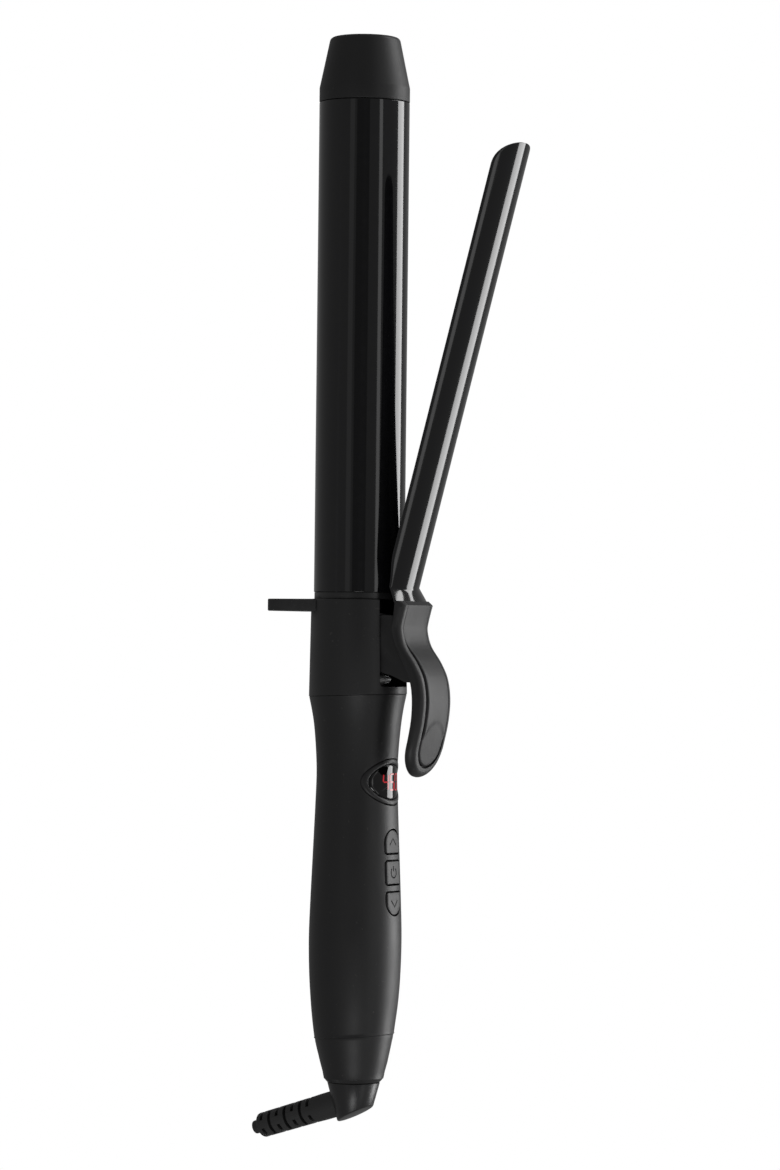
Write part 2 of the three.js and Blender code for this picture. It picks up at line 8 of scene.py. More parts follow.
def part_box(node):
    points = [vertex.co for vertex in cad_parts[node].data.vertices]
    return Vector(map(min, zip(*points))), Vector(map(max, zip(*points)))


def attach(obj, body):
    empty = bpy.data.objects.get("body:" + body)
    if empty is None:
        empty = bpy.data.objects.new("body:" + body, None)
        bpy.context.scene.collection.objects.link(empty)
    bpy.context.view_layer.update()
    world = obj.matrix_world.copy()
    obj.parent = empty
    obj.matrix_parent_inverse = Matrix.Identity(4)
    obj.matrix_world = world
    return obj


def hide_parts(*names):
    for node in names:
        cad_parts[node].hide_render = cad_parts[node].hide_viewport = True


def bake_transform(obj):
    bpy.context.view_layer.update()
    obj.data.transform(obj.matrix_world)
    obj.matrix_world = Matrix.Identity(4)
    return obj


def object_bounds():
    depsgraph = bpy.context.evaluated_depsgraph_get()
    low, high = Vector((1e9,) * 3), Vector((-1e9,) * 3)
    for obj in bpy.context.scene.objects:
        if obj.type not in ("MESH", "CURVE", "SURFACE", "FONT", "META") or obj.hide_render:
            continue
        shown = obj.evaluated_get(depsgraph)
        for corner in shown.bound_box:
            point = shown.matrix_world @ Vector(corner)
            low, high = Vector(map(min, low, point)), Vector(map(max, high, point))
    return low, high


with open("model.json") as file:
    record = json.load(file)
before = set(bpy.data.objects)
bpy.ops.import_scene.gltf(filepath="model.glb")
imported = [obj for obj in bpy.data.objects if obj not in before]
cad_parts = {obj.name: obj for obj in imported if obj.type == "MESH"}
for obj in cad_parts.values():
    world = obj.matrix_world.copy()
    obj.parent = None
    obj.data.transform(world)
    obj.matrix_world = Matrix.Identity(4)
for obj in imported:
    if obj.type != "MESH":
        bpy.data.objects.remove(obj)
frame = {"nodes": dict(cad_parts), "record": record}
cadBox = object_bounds()
mm = 0.001  # shapes below are worked out in millimetres and stored in metres


def boxOf(node):
    low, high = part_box(node)
    return [v / mm for v in low], [v / mm for v in high]


def newObject(name, data):
    made = bpy.data.objects.new(name, data)
    bpy.context.scene.collection.objects.link(made)
    return made


def setSockets(tree, node, inputs):
    # each input is linked to a socket or given a value
    for label, value in inputs.items():
        if isinstance(value, bpy.types.NodeSocket):
            tree.links.new(value, node.inputs[label])
        else:
            node.inputs[label].default_value = value


def addNode(tree, kind, inputs=None, **settings):
    node = tree.nodes.new(kind)
    for label, value in settings.items():
        setattr(node, label, value)
    setSockets(tree, node, inputs or {})
    return node


# camera, lights and backdrop

cameraSetup = dict(azimuth=-60, distance=1.612, height=0.078, aimHeight=0.1002, aside=0.0110,
                   lens=138.9, roll=0.645)


def around(azimuth, distance, height):
    a = math.radians(azimuth)
    return Vector((math.sin(a) * distance, -math.cos(a) * distance, height))


def addCamera(setup):
    camera = newObject("camera", bpy.data.cameras.new("camera"))
    a = math.radians(setup["azimuth"])
    aside = Vector((math.cos(a), math.sin(a), 0)) * setup["aside"]
    place = around(setup["azimuth"], setup["distance"], setup["height"]) + aside
    aim = aside + Vector((0, 0, setup["aimHeight"]))
    turn = (aim - place).to_track_quat("-Z", "Y").to_matrix().to_4x4()
    roll = Matrix.Rotation(math.radians(setup["roll"]), 4, "Z")
    camera.matrix_world = Matrix.Translation(place) @ turn @ roll
    camera.data.lens = setup["lens"]
    camera.data.sensor_width = 36
    camera.data.clip_end = 50
    bpy.context.scene.camera = camera


lightSetup = dict(aim=0.1, worldGrey=0.26, strips=[
    # bearing to the right of the camera, distance, centre height, width, height, brightness
    ("keyStrip", 109.5, 1.6, 0.10, 0.70, 1.7, 6.4),
    ("keyTop", 104, 1.5, 1.45, 0.60, 0.5, 8.5),
    ("thinStrip", 44.5, 1.8, 0.10, 0.28, 3.2, 1.25),
    ("faintStrip", -30, 2.0, 0.10, 0.42, 3.2, 0.17),
    ("lowFill", 0, 1.3, -0.95, 0.60, 0.50, 5.5),
], flag=dict(bearing=-2, distance=1.95, width=1.15, height=1.9, grey=0.12))


def addStrip(name, bearing, distance, centre, width, height, brightness):
    lamp = bpy.data.lights.new(name, "AREA")
    lamp.shape = "RECTANGLE"
    lamp.size, lamp.size_y = width, height
    lamp.energy = brightness * math.pi * width * height
    strip = newObject(name, lamp)
    place = around(cameraSetup["azimuth"] + bearing, distance, centre)
    strip.location = place
    ahead = Vector((0, 0, lightSetup["aim"])) - place
    strip.rotation_euler = ahead.to_track_quat("-Z", "Y").to_euler()


def glowCard(name, grey):
    card = bpy.data.materials.new(name)
    card.use_nodes = True
    tree = card.node_tree
    tree.nodes.clear()
    glow = addNode(tree, "ShaderNodeEmission", {"Color": (grey, grey, grey, 1)})
    addNode(tree, "ShaderNodeOutputMaterial", {"Surface": glow.outputs[0]})
    return card


def addPanel(name, corners, grey, *hiddenFrom):
    # flat card of one even brightness
    mesh = bpy.data.meshes.new(name)
    mesh.from_pydata(corners, [], [(0, 1, 2, 3)])
    mesh.materials.append(glowCard(name + "Grey", grey))
    panel = newObject(name, mesh)
    for ray in hiddenFrom:
        setattr(panel, "visible_" + ray, False)


def addFlag(bearing, distance, width, height, grey):
    # dark card round the lens, seen only in reflections
    side, up = width / 2, height / 2
    azimuth = cameraSetup["azimuth"] + bearing
    turn = Matrix.Rotation(math.radians(azimuth), 4, "Z")
    place = Matrix.Translation(around(azimuth, distance, lightSetup["aim"])) @ turn
    corners = ((-side, 0, -up), (side, 0, -up), (side, 0, up), (-side, 0, up))
    addPanel("flag", [place @ Vector(corner) for corner in corners], grey, "camera", "shadow")


def addBackdrop(size=6):
    # the lens sees white, everything else is lit by grey
    world = bpy.data.worlds.new("studio")
    bpy.context.scene.world = world
    world.use_nodes = True
    tree = world.node_tree
    tree.nodes.clear()
    seen = addNode(tree, "ShaderNodeBackground", {"Color": (1, 1, 1, 1)})
    lit = addNode(tree, "ShaderNodeBackground", {"Color": (*[lightSetup["worldGrey"]] * 3, 1)})
    path = addNode(tree, "ShaderNodeLightPath")
    mix = addNode(tree, "ShaderNodeMixShader",
                  {0: path.outputs["Is Camera Ray"], 1: lit.outputs[0], 2: seen.outputs[0]})
    addNode(tree, "ShaderNodeOutputWorld", {"Surface": mix.outputs[0]})
    low = cadBox[0].z - mm
    corners = [(-size, -size, low), (size, -size, low), (size, size, low), (-size, size, low)]
    addPanel("floor", corners, 1, "shadow", "glossy", "diffuse")


addCamera(cameraSetup)
for strip in lightSetup["strips"]:
    addStrip(*strip)
addFlag(**lightSetup["flag"])
addBackdrop()
bpy.context.scene.view_settings.view_transform = "Standard"
print("stage: camera, lights and backdrop")


# shader groups

def newGroup(name, settings, outputs):
    # shader group with a Vector input, numbers that can be set, and number outputs
    group = bpy.data.node_groups.new(name, "ShaderNodeTree")
    sockets = group.interface
    sockets.new_socket("Vector", in_out="INPUT", socket_type="NodeSocketVector")
    for label, value in settings.items():
        sockets.new_socket(label, in_out="INPUT", socket_type="NodeSocketFloat").default_value = value
    for label in outputs:
        sockets.new_socket(label, in_out="OUTPUT", socket_type="NodeSocketFloat")
    return group, addNode(group, "NodeGroupInput").outputs, addNode(group, "NodeGroupOutput")


def mathNode(tree, operation, a, b, clamp=False):
    node = addNode(tree, "ShaderNodeMath", {0: a, 1: b}, operation=operation, use_clamp=clamp)
    return node.outputs[0]


def noiseOn(tree, vector, scale, detail):
    inputs = {"Vector": vector, "Scale": scale, "Detail": detail}
    return addNode(tree, "ShaderNodeTexNoise", inputs).outputs["Fac"]


def mouldedGrain():
    # fine spark-eroded grain of a mould, with a slow mottle over it
    group, given, out = newGroup("mouldedGrain", {"Grain Scale": 3500.0, "Mottle Scale": 60.0},
                                 ["Height", "Mottle"])
    fine = noiseOn(group, given["Vector"], given["Grain Scale"], 3)
    slow = noiseOn(group, given["Vector"], given["Mottle Scale"], 4)
    setSockets(group, out, {"Height": fine, "Mottle": slow})
    return group


def edgeWear():
    # mask that is white where an edge sticks out and has been rubbed
    group, given, out = newGroup("edgeWear", {"Sharpness": 14.0, "Break Up": 420.0}, ["Mask"])
    shape = addNode(group, "ShaderNodeNewGeometry")
    lifted = mathNode(group, "SUBTRACT", shape.outputs["Pointiness"], 0.51)
    edge = mathNode(group, "MULTIPLY", lifted, given["Sharpness"], clamp=True)
    broken = noiseOn(group, given["Vector"], given["Break Up"], 3)
    setSockets(group, out, {"Mask": mathNode(group, "MULTIPLY", edge, broken, clamp=True)})
    return group


def fineDust():
    # sparse pale specks and faint smears left by handling
    group, given, out = newGroup("fineDust", {"Speck Scale": 900.0, "Smear Scale": 45.0},
                                 ["Specks", "Smears"])
    fine = noiseOn(group, given["Vector"], given["Speck Scale"], 0)
    peaks = mathNode(group, "SUBTRACT", fine, 0.78)
    slow = noiseOn(group, given["Vector"], given["Smear Scale"], 5)
    setSockets(group, out, {"Specks": mathNode(group, "MULTIPLY", peaks, 9.0, clamp=True),
                            "Smears": slow})
    return group


grainGroup = mouldedGrain()
wearGroup = edgeWear()
dustGroup = fineDust()


# materials

def placeGroup(tree, group, vector, **values):
    inputs = {label.replace("_", " "): value for label, value in values.items()}
    return addNode(tree, "ShaderNodeGroup", {"Vector": vector, **inputs}, node_tree=group).outputs


def mixColors(tree, mask, first, second):
    first, second = [(*v, 1) if isinstance(v, tuple) else v for v in (first, second)]
    return addNode(tree, "ShaderNodeMix", {0: mask, 6: first, 7: second}, data_type="RGBA").outputs[2]


def rangeTo(tree, value, low, high):
    # most of a noise lies between 0.3 and 0.7
    inputs = {"Value": value, "From Min": 0.3, "From Max": 0.7, "To Min": low, "To Max": high}
    return addNode(tree, "ShaderNodeMapRange", inputs).outputs["Result"]


def bumpFrom(tree, height, strength, distance):
    inputs = {"Height": height, "Strength": strength, "Distance": distance}
    return addNode(tree, "ShaderNodeBump", inputs).outputs["Normal"]


def newMaterial(name):
    material = bpy.data.materials.new(name)
    material.use_nodes = True
    tree = material.node_tree
    place = addNode(tree, "ShaderNodeTexCoord").outputs["Object"]
    return material, tree, tree.nodes["Principled BSDF"], place


def mouldedPlastic(name, base, worn, roughness, spread=0.05, grain=3500.0, depth=0.25, specular=0.5):
    # roughness is the middle of a range `spread` wide either way
    material, tree, shader, place = newMaterial(name)
    mould = placeGroup(tree, grainGroup, place, Grain_Scale=grain)
    dust = placeGroup(tree, dustGroup, place)
    color = mixColors(tree, mould["Mottle"], base, tuple(v * 1.12 for v in base))
    color = mixColors(tree, placeGroup(tree, wearGroup, place)["Mask"], color, worn)
    dusty = mathNode(tree, "MULTIPLY", dust["Specks"], 0.08)
    setSockets(tree, shader, {
        "Base Color": mixColors(tree, dusty, color, (0.25, 0.24, 0.22)),
        "Roughness": rangeTo(tree, dust["Smears"], roughness - spread, roughness + spread),
        "Specular IOR Level": specular, "Normal": bumpFrom(tree, mould["Height"], depth, 0.00003)})
    return material


def glossCoat(name, base, roughness, flake=0.0):
    # fired coating on metal: nearly black, glassy, with a faint mineral speckle
    material, tree, shader, place = newMaterial(name)
    dust = placeGroup(tree, dustGroup, place, Speck_Scale=2600.0)
    wear = placeGroup(tree, wearGroup, place, Sharpness=8.0)
    speckled = mathNode(tree, "MULTIPLY", dust["Specks"], flake)
    color = mixColors(tree, speckled, base, (0.03, 0.03, 0.034))
    setSockets(tree, shader, {
        "Base Color": mixColors(tree, wear["Mask"], color, (0.05, 0.05, 0.055)),
        "Roughness": rangeTo(tree, dust["Smears"], roughness * 0.8, roughness * 1.3),
        "Coat Roughness": 0.03})
    return material


def bareMetal(name, base, dark, roughness):
    # grain drawn out along the part
    material, tree, shader, place = newMaterial(name)
    stretch = addNode(tree, "ShaderNodeMapping", {"Scale": (1, 1, 0.06), "Vector": place})
    drawn = noiseOn(tree, stretch.outputs[0], 1400.0, 3)
    wear = placeGroup(tree, wearGroup, place)
    bright = tuple(min(1, v * 1.3) for v in base)
    setSockets(tree, shader, {
        "Base Color": mixColors(tree, wear["Mask"], mixColors(tree, drawn, dark, base), bright),
        "Roughness": rangeTo(tree, drawn, roughness - 0.08, roughness + 0.08),
        "Metallic": 1.0, "Normal": bumpFrom(tree, drawn, 0.2, 0.00002)})
    return material


def glowingDigit():
    material, tree, shader, place = newMaterial("litSegment")
    glow = mixColors(tree, noiseOn(tree, place, 500.0, 1), (1.0, 0.02, 0.035), (1.0, 0.07, 0.09))
    setSockets(tree, shader, {"Base Color": (0.02, 0.0, 0.0, 1), "Roughness": 0.06,
                              "Emission Color": glow, "Emission Strength": 0.42})
    return material


darkPlastics = dict(
    # name, red and green of the base and of worn edges, roughness, its spread, specular level
    handle=("softTouchBlack", 0.0115, 0.028, 0.46, 0.05, 0.39),
    collar=("collarBlack", 0.0105, 0.028, 0.44, 0.05, 0.43),
    lever=("leverSatin", 0.014, 0.034, 0.44, 0.04, 0.35),
    pad=("padSatin", 0.014, 0.034, 0.46, 0.03, 0.26),
    button=("buttonSatin", 0.016, 0.04, 0.44, 0.03, 0.31),
    tip=("tipBlack", 0.012, 0.028, 0.5, 0.05, 0.33),
    ring=("ringBlack", 0.010, 0.03, 0.34, 0.05, 0.5),
    elbow=("elbowSatin", 0.011, 0.032, 0.34, 0.04, 0.42),
)
finishes = {key: mouldedPlastic(name, (base, base, base + 0.0005), (worn, worn, worn + 0.001), roughness,
                                spread, specular=specular)
            for key, (name, base, worn, roughness, spread, specular) in darkPlastics.items()}
finishes.update(
    boot=mouldedPlastic("bootRubber", (0.0145, 0.0145, 0.015), (0.03, 0.03, 0.03), 0.62, grain=5200.0,
                        depth=0.4),
    barrel=glossCoat("barrelCoat", (0.0022, 0.0022, 0.0026), 0.075, flake=0.3),
    clamp=glossCoat("clampCoat", (0.0024, 0.0024, 0.0028), 0.085, flake=0.2),
    window=glossCoat("windowGloss", (0.0012, 0.0012, 0.0014), 0.05),
    # dull ink for the button icons, also laid on the notch's back wall as painted shade
    icon=mouldedPlastic("iconInk", (0.012, 0.012, 0.0125), (0.02, 0.02, 0.02), 0.8, spread=0.03,
                        specular=0.05),
    stop=mouldedPlastic("stopRubber", (0.055, 0.055, 0.056), (0.08, 0.08, 0.08), 0.55, grain=5200.0),
    digit=glowingDigit(),
    steel=bareMetal("zincSteel", (0.42, 0.43, 0.45), (0.28, 0.29, 0.31), 0.34),
    oxide=bareMetal("blackOxide", (0.035, 0.035, 0.037), (0.02, 0.02, 0.022), 0.5),
    spring=bareMetal("springWire", (0.36, 0.37, 0.40), (0.22, 0.23, 0.25), 0.28),
    aluminium=bareMetal("bareAluminium", (0.62, 0.63, 0.65), (0.48, 0.49, 0.51), 0.36),
    brass=bareMetal("contactBrass", (0.70, 0.50, 0.20), (0.50, 0.34, 0.12), 0.30),
    ceramic=mouldedPlastic("alumina", (0.72, 0.70, 0.65), (0.8, 0.78, 0.74), 0.7, grain=2500.0),
    carrier=mouldedPlastic("carrierBlack", (0.03, 0.03, 0.033), (0.06, 0.06, 0.062), 0.5),
    board=mouldedPlastic("solderMask", (0.018, 0.10, 0.04), (0.05, 0.2, 0.09), 0.35, grain=900.0),
    component=mouldedPlastic("componentCase", (0.02, 0.02, 0.023), (0.05, 0.05, 0.052), 0.45),
    white=mouldedPlastic("leadWhite", (0.62, 0.60, 0.55), (0.7, 0.68, 0.64), 0.5),
    red=mouldedPlastic("leadRed", (0.36, 0.02, 0.015), (0.45, 0.05, 0.04), 0.45),
)
print("materials:", len(finishes))


# mesh helpers

def addPiece(name, verts, faces, *materials):
    mesh = bpy.data.meshes.new(name)
    mesh.from_pydata([Vector(v) * mm for v in verts], [], faces)
    for material in materials:
        mesh.materials.append(material)
    return newObject(name, mesh)


def tidyMesh(piece, sharpAngle=32, merge=0.0000015):
    # welds doubles, points the faces outwards and keeps hard edges hard
    work = bmesh.new()
    work.from_mesh(piece.data)
    bmesh.ops.remove_doubles(work, verts=work.verts, dist=merge)
    bmesh.ops.dissolve_degenerate(work, edges=work.edges, dist=merge / 4)
    bmesh.ops.recalc_face_normals(work, faces=work.faces)
    work.to_mesh(piece.data)
    work.free()
    piece.data.shade_smooth()
    piece.data.set_sharp_from_angle(angle=math.radians(sharpAngle))
    return piece


def closeHoles(piece, merge=0.0000015):
    work = bmesh.new()
    work.from_mesh(piece.data)
    bmesh.ops.remove_doubles(work, verts=work.verts, dist=merge)
    bmesh.ops.holes_fill(work, edges=[e for e in work.edges if e.is_boundary], sides=0)
    bmesh.ops.triangulate(work, faces=[f for f in work.faces if len(f.verts) > 8])
    work.to_mesh(piece.data)
    work.free()


def evaluatedMesh(thing):
    bpy.context.view_layer.update()
    graph = bpy.context.evaluated_depsgraph_get()
    return bpy.data.meshes.new_from_object(thing.evaluated_get(graph), depsgraph=graph)


def bake(piece):
    # a piece's modifiers become part of its mesh
    mesh = evaluatedMesh(piece)
    old = piece.data
    piece.modifiers.clear()
    piece.data = mesh
    mesh.name = piece.name
    bpy.data.meshes.remove(old)
    return piece


def combine(piece, tool, operation="DIFFERENCE"):
    modifier = piece.modifiers.new("cut", "BOOLEAN")
    modifier.operation = operation
    modifier.solver = "EXACT"
    modifier.object = tool
    bake(piece)
    bpy.data.objects.remove(tool)
    return piece


def bevelEdges(piece, width, segments, angle):
    bevel = piece.modifiers.new("edge", "BEVEL")
    bevel.width = width * mm
    bevel.segments = segments
    bevel.limit_method = "ANGLE"
    bevel.angle_limit = math.radians(angle)
    return bake(tidyMesh(piece))


def fit(piece, body, slotName, *nodes):
    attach(piece, body)
    if nodes:
        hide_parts(*nodes)
    return piece


def arc(centreR, centreZ, radius, start, end, count=6):
    # points of a fillet in a [radius, height] profile or an outline, angles in degrees
    points = []
    for i in range(count + 1):
        a = math.radians(start + (end - start) * i / count)
        points.append((centreR + radius * math.cos(a), centreZ + radius * math.sin(a)))
    return points


def corner(r, z, radius, start, end, count):
    # fillet of a profile's outer corner at (r, z); a start below zero makes it the lower corner
    return arc(r - radius, z + radius if start < 0 else z - radius, radius, start, end, count)


def splinePoints(points, steps):
    # evenly stepped Catmull-Rom through the points
    result = []
    last = len(points) - 1
    for i in range(steps + 1):
        p = i / steps * last
        k = min(int(p), last - 1)
        t = p - k
        quad = [points[max(k - 1, 0)], points[k], points[k + 1], points[min(k + 2, last)]]
        value = []
        for axis in range(len(points[0])):
            a, b, c, d = (q[axis] for q in quad)
            v0, v1 = (c - a) / 2, (d - b) / 2
            cubic, square = 2 * b - 2 * c + v0 + v1, -3 * b + 3 * c - 2 * v0 - v1
            value.append(cubic * t ** 3 + square * t * t + v0 * t + b)
        result.append(tuple(value))
    return result


def bridge(loops, closed=True, caps=True):
    # skin over successive loops of the same length
    count = len(loops[0])
    verts = [v for loop in loops for v in loop]
    faces = []
    for k in range(len(loops) - 1):
        for i in range(count if closed else count - 1):
            j = (i + 1) % count
            faces.append((k * count + i, k * count + j, (k + 1) * count + j, (k + 1) * count + i))
    if caps:
        faces += [range(count)[::-1], range(len(verts) - count, len(verts))]
    return verts, [tuple(face) for face in faces]


def lathe(name, profile, *materials, segments=160, ring=False, shift=lambda y, z: 0):
    # profile from the axis round to the axis, or closed on itself when ring is true; tidyMesh welds it
    turns = [2 * math.pi * i / segments for i in range(segments)]
    loops = [[(r * math.cos(a), r * math.sin(a), z + shift(r * math.sin(a), z)) for a in turns]
             for r, z in profile]
    return addPiece(name, *bridge(loops + loops[:1] if ring else loops, caps=False), *materials)


def slab(name, outline, place, depth, *materials):
    # prism on a closed outline; place(a, b, h) puts outline point (a, b) at height h
    return addPiece(name, *bridge([[place(a, b, h) for a, b in outline] for h in (0, depth)]), *materials)


def boxTool(name, low, high):
    outline = [(low[0], low[2]), (high[0], low[2]), (high[0], high[2]), (low[0], high[2])]
    return tidyMesh(slab(name, outline, lambda x, z, h: (x, low[1] + h, z), high[1] - low[1]))


def rodTool(name, radius, low, high, segments=96):
    return tidyMesh(lathe(name, [(0, low), (radius, low), (radius, high), (0, high)], segments=segments))


def fromFront(x, z, h):
    # place for cutting tools that come in from 20 mm before the axis
    return (x, -20 + h, z)


def profileAt(points):
    # smooth curve through [value, height] points, whose heights all rise or all fall
    way = 1 if points[-1][1] > points[0][1] else -1

    def value(z):
        for (v0, z0), (v1, z1) in zip(points, points[1:]):
            if z * way <= z1 * way:
                return v0 + (v1 - v0) * min(1.0, max(0.0, (z - z0) / (z1 - z0)))
        return points[-1][0]
    return value


def smooth(t):
    t = max(0.0, min(1.0, t))
    return t * t * (3 - 2 * t)


# barrel and tip

tipLow, tipHigh = boxOf("cool_tip")
barrelLow, barrelHigh = boxOf("barrel")
barrelSize = dict(radius=barrelHigh[0] + 0.15, wall=1.5, lip=0.2, bottom=barrelLow[2] - 0.5,
                  top=barrelHigh[2])
tipSize = dict(bandRadius=tipHigh[0], bandTop=277.6, neckRadius=12.7, neckTop=293.9, fillet=1.7,
               top=tipHigh[2] + 0.5, plugRadius=14.1, plugDepth=9, dish=0.25, dishRadius=9.6, gap=0.25)
ringSize = dict(inner=12.1, step=0.25, reach=2, rise=1.6, lowEdge=0.15, topEdge=0.2)
notchSize = dict(halfWidth=9.6, back=8.2, floor=63.9, corner=1.2, wall=1.8)


def addTip(size):
    bottom, top, plug = barrelSize["top"] + size["gap"], size["top"], size["plugRadius"]
    band, bandTop, fillet = size["bandRadius"], size["bandTop"], size["fillet"]
    lean = 90 - math.degrees(math.atan2(size["neckTop"] - bandTop, band - size["neckRadius"]))
    low = bottom - size["plugDepth"]
    profile = [(0, low), (plug - 0.6, low), (plug, low + 0.6), (plug, bottom)]
    profile += corner(band, bottom, 0.3, -90, 0, 4)
    profile += [(band, bandTop - 0.5)]
    profile += arc(band - 0.9, bandTop - 0.1, 0.9, 8, lean, 4)
    profile += corner(size["neckRadius"], top, fillet, lean, 90, 8)
    floor = top - size["dish"]
    profile += [(size["dishRadius"], top), (size["dishRadius"] - 0.4, floor), (0, floor)]
    tip = lathe("coolTip", profile, finishes["tip"])
    fit(tidyMesh(tip, 28), "root", "cool_tip", "cool_tip")


def addBarrel(size):
    radius, lip, bottom, top = size["radius"], size["lip"], size["bottom"], size["top"]
    inner = radius - size["wall"]
    profile = [(inner, bottom), *corner(radius, bottom, lip, -90, 0, 5)]
    profile += [*corner(radius, top, lip, 0, 90, 5), (inner, top)]
    barrel = lathe("barrelTube", profile, finishes["barrel"], segments=192, ring=True)
    fit(tidyMesh(barrel), "root", "barrel", "barrel")


def addHeatRing(size):
    # sits between tube and collar and reaches a little way into both
    low, high = boxOf("heat_ring")
    outer = high[0] + 0.15
    bottom, top = collarSize["top"] + 0.02, barrelSize["bottom"] - 0.06
    inner, spigot = size["inner"], barrelSize["radius"] - barrelSize["wall"] - 0.05
    foot = low[2] - size["reach"]
    profile = [(inner, foot), (inner + size["step"], foot), (inner + size["step"], bottom)]
    profile += corner(outer, bottom, size["lowEdge"], -90, 0, 4)
    profile += corner(outer, top, size["topEdge"], 0, 90, 5)
    profile += [(spigot, top), (spigot, top + size["rise"]), (inner, top + size["rise"])]
    ring = tidyMesh(lathe("heatRing", profile, finishes["ring"], ring=True))
    # the spigot is cut back where the lever's notch opens
    half, back = notchSize["halfWidth"] + 1, notchSize["back"]
    combine(ring, boxTool("spigotCut", (-half, -20, low[2] - 4), (half, -back, bottom)))
    fit(tidyMesh(ring), "root", "heat_ring", "heat_ring")


collarSize = dict(bottomRadius=17.5, topRadius=17.02, bottom=60.73, top=95.0, edge=0.5, lip=0.22,
                  cavity=15, cavityLow=55, cavityTop=90.4, bore=12.4,
                  footSlot=[(-8.3, 13.4, 91.7), (8.3, 20, 94.3)])
addTip(tipSize)
addBarrel(barrelSize)
addHeatRing(ringSize)
print("barrel: tube, tip and ring")


# handle surface

handleSize = dict(
    wall=2.2, bottom=-60.7, top=60.7, topSlant=0.035, bottomSlant=0.08, step=0.2, lip=0.18,
    collarSeat=14.7, spigotBore=13, spigotTop=66, wallTop=48, cutWidth=12.2, cutLow=61.6, cutBack=-5.9,
    # [radius, height] of the waisted grip
    waist=[(14.15, -60.7), (15.44, -50.3), (16.27, -38.9), (16.56, -26), (16.2, -13), (15.5, 4),
           (14.8, 21.2), (14.46, 32.6), (14.77, 41.2), (15.5, 49.8), (16.34, 55.5), (17.4, 60.7)])
waistPoints = splinePoints(handleSize["waist"], 120)


radiusAt = profileAt(waistPoints)


def onHandle(x, z, offset):
    # the point of the handle's front above (x, z), moved outwards by offset
    r = radiusAt(z) + offset
    return (x, -math.sqrt(max(r * r - x * x, 0.01)), z)


def handleSlant(y, z):
    # both ends of the grip are cut at a slight slant, higher at the front
    top = -y * handleSize["topSlant"] * smooth((z - 48) / 10)
    bottom = -y * handleSize["bottomSlant"] * smooth((-44 - z) / 14)
    return top + bottom


# eye-shaped display

displaySize = dict(height=30.1, ringHalfWidth=11.5, ringHalfHeight=8.1, windowHalfWidth=9.6,
                   windowHalfHeight=6.15, groove=0.4, digitHeight=5.6, digitWidth=2.5,
                   digitPitch=3.5, stroke=0.5, lean=0.08, proud=0.2, recess=0.1)


def eyeOutline(halfWidth, halfHeight, count=180):
    # oval as points (x, z)
    turns = [2 * math.pi * (i + 0.5) / count for i in range(count)]
    return [(halfWidth * math.cos(a), halfHeight * math.sin(a) + displaySize["height"]) for a in turns]


def eyeLoop(halfWidth, halfHeight, offset):
    return [onHandle(x, z, offset) for x, z in eyeOutline(halfWidth, halfHeight)]


def addDisplay(size):
    w, h, proud = size["ringHalfWidth"], size["ringHalfHeight"], size["proud"]
    paneW, paneH, face = size["windowHalfWidth"], size["windowHalfHeight"], -size["recess"]
    # (distance in from the ring's rim, offset), then (distance out from its inner edge, offset)
    outer = [(0, -1.8), (0, -0.15), (0.12, proud - 0.14), (0.4, proud - 0.03), (0.8, proud)]
    inner = [(0.9, proud), (0.6, proud - 0.06), (0.35, proud - 0.17), (0.15, proud - 0.32), (0, -0.4),
             (0, -1.8)]
    loops = [eyeLoop(w - d, h - d, offset) for d, offset in outer]
    loops += [eyeLoop(paneW + 0.2 + d, paneH + 0.2 + d, offset) for d, offset in inner]
    ring = addPiece("displayBezel", *bridge(loops + loops[:1], caps=False), finishes["lever"])
    fit(tidyMesh(ring, 40), "root", "handle_plastic", "display_bezel")

    rounding = [(0, -1.4), (0, -0.4), (0.1, -0.22), (0.3, -0.08), (0.6, 0)]
    loops = [eyeLoop(paneW - d, paneH - d, face + offset) for d, offset in rounding]
    loops += [eyeLoop(paneW * t, paneH * t, face) for t in (0.92, 0.8, 0.66, 0.52, 0.38, 0.24, 0.1)]
    pane = addPiece("displayWindow", *bridge(loops), finishes["window"])
    fit(tidyMesh(pane, 40), "root", "window_plastic", "display_window")


# segments lit for each digit: top, upper left, upper right, middle, lower left, lower right, bottom
litSegments = {"4": "0111010", "5": "1101011", "0": "1110111"}


def addDigits(size, text="450"):
    w, h, s = size["digitWidth"] / 2, size["digitHeight"] / 2, size["stroke"] / 2
    spots = [((-w, h), (w, h)), ((-w, 0), (-w, h)), ((w, 0), (w, h)), ((-w, 0), (w, 0)),
             ((-w, -h), (-w, 0)), ((w, -h), (w, 0)), ((-w, -h), (w, -h))]
    verts, faces = [], []
    for place, digit in enumerate(text):
        centre = (place - (len(text) - 1) / 2) * size["digitPitch"]
        for lit, ((x0, z0), (x1, z1)) in zip(litSegments[digit], spots):
            if lit == "0":
                continue
            length = math.hypot(x1 - x0, z1 - z0)
            ux, uz = (x1 - x0) / length, (z1 - z0) / length
            near, far = s + 0.1, length - s - 0.1
            outline = []
            for along, across in ((near, -s), (far, -s), (length - 0.1, 0), (far, s), (near, s), (0.1, 0)):
                x = centre + x0 + ux * along - uz * across
                z = z0 + uz * along + ux * across
                outline.append((x + size["lean"] * z, z + size["height"]))
            more, sides = bridge([[onHandle(x, z, offset - size["recess"]) for x, z in outline]
                                  for offset in (0.01, 0.05)])
            faces += [[len(verts) + i for i in side] for side in sides]
            verts += more
    digits = addPiece("displayDigits", verts, faces, finishes["digit"])
    fit(tidyMesh(digits), "root", "component")


# buttons

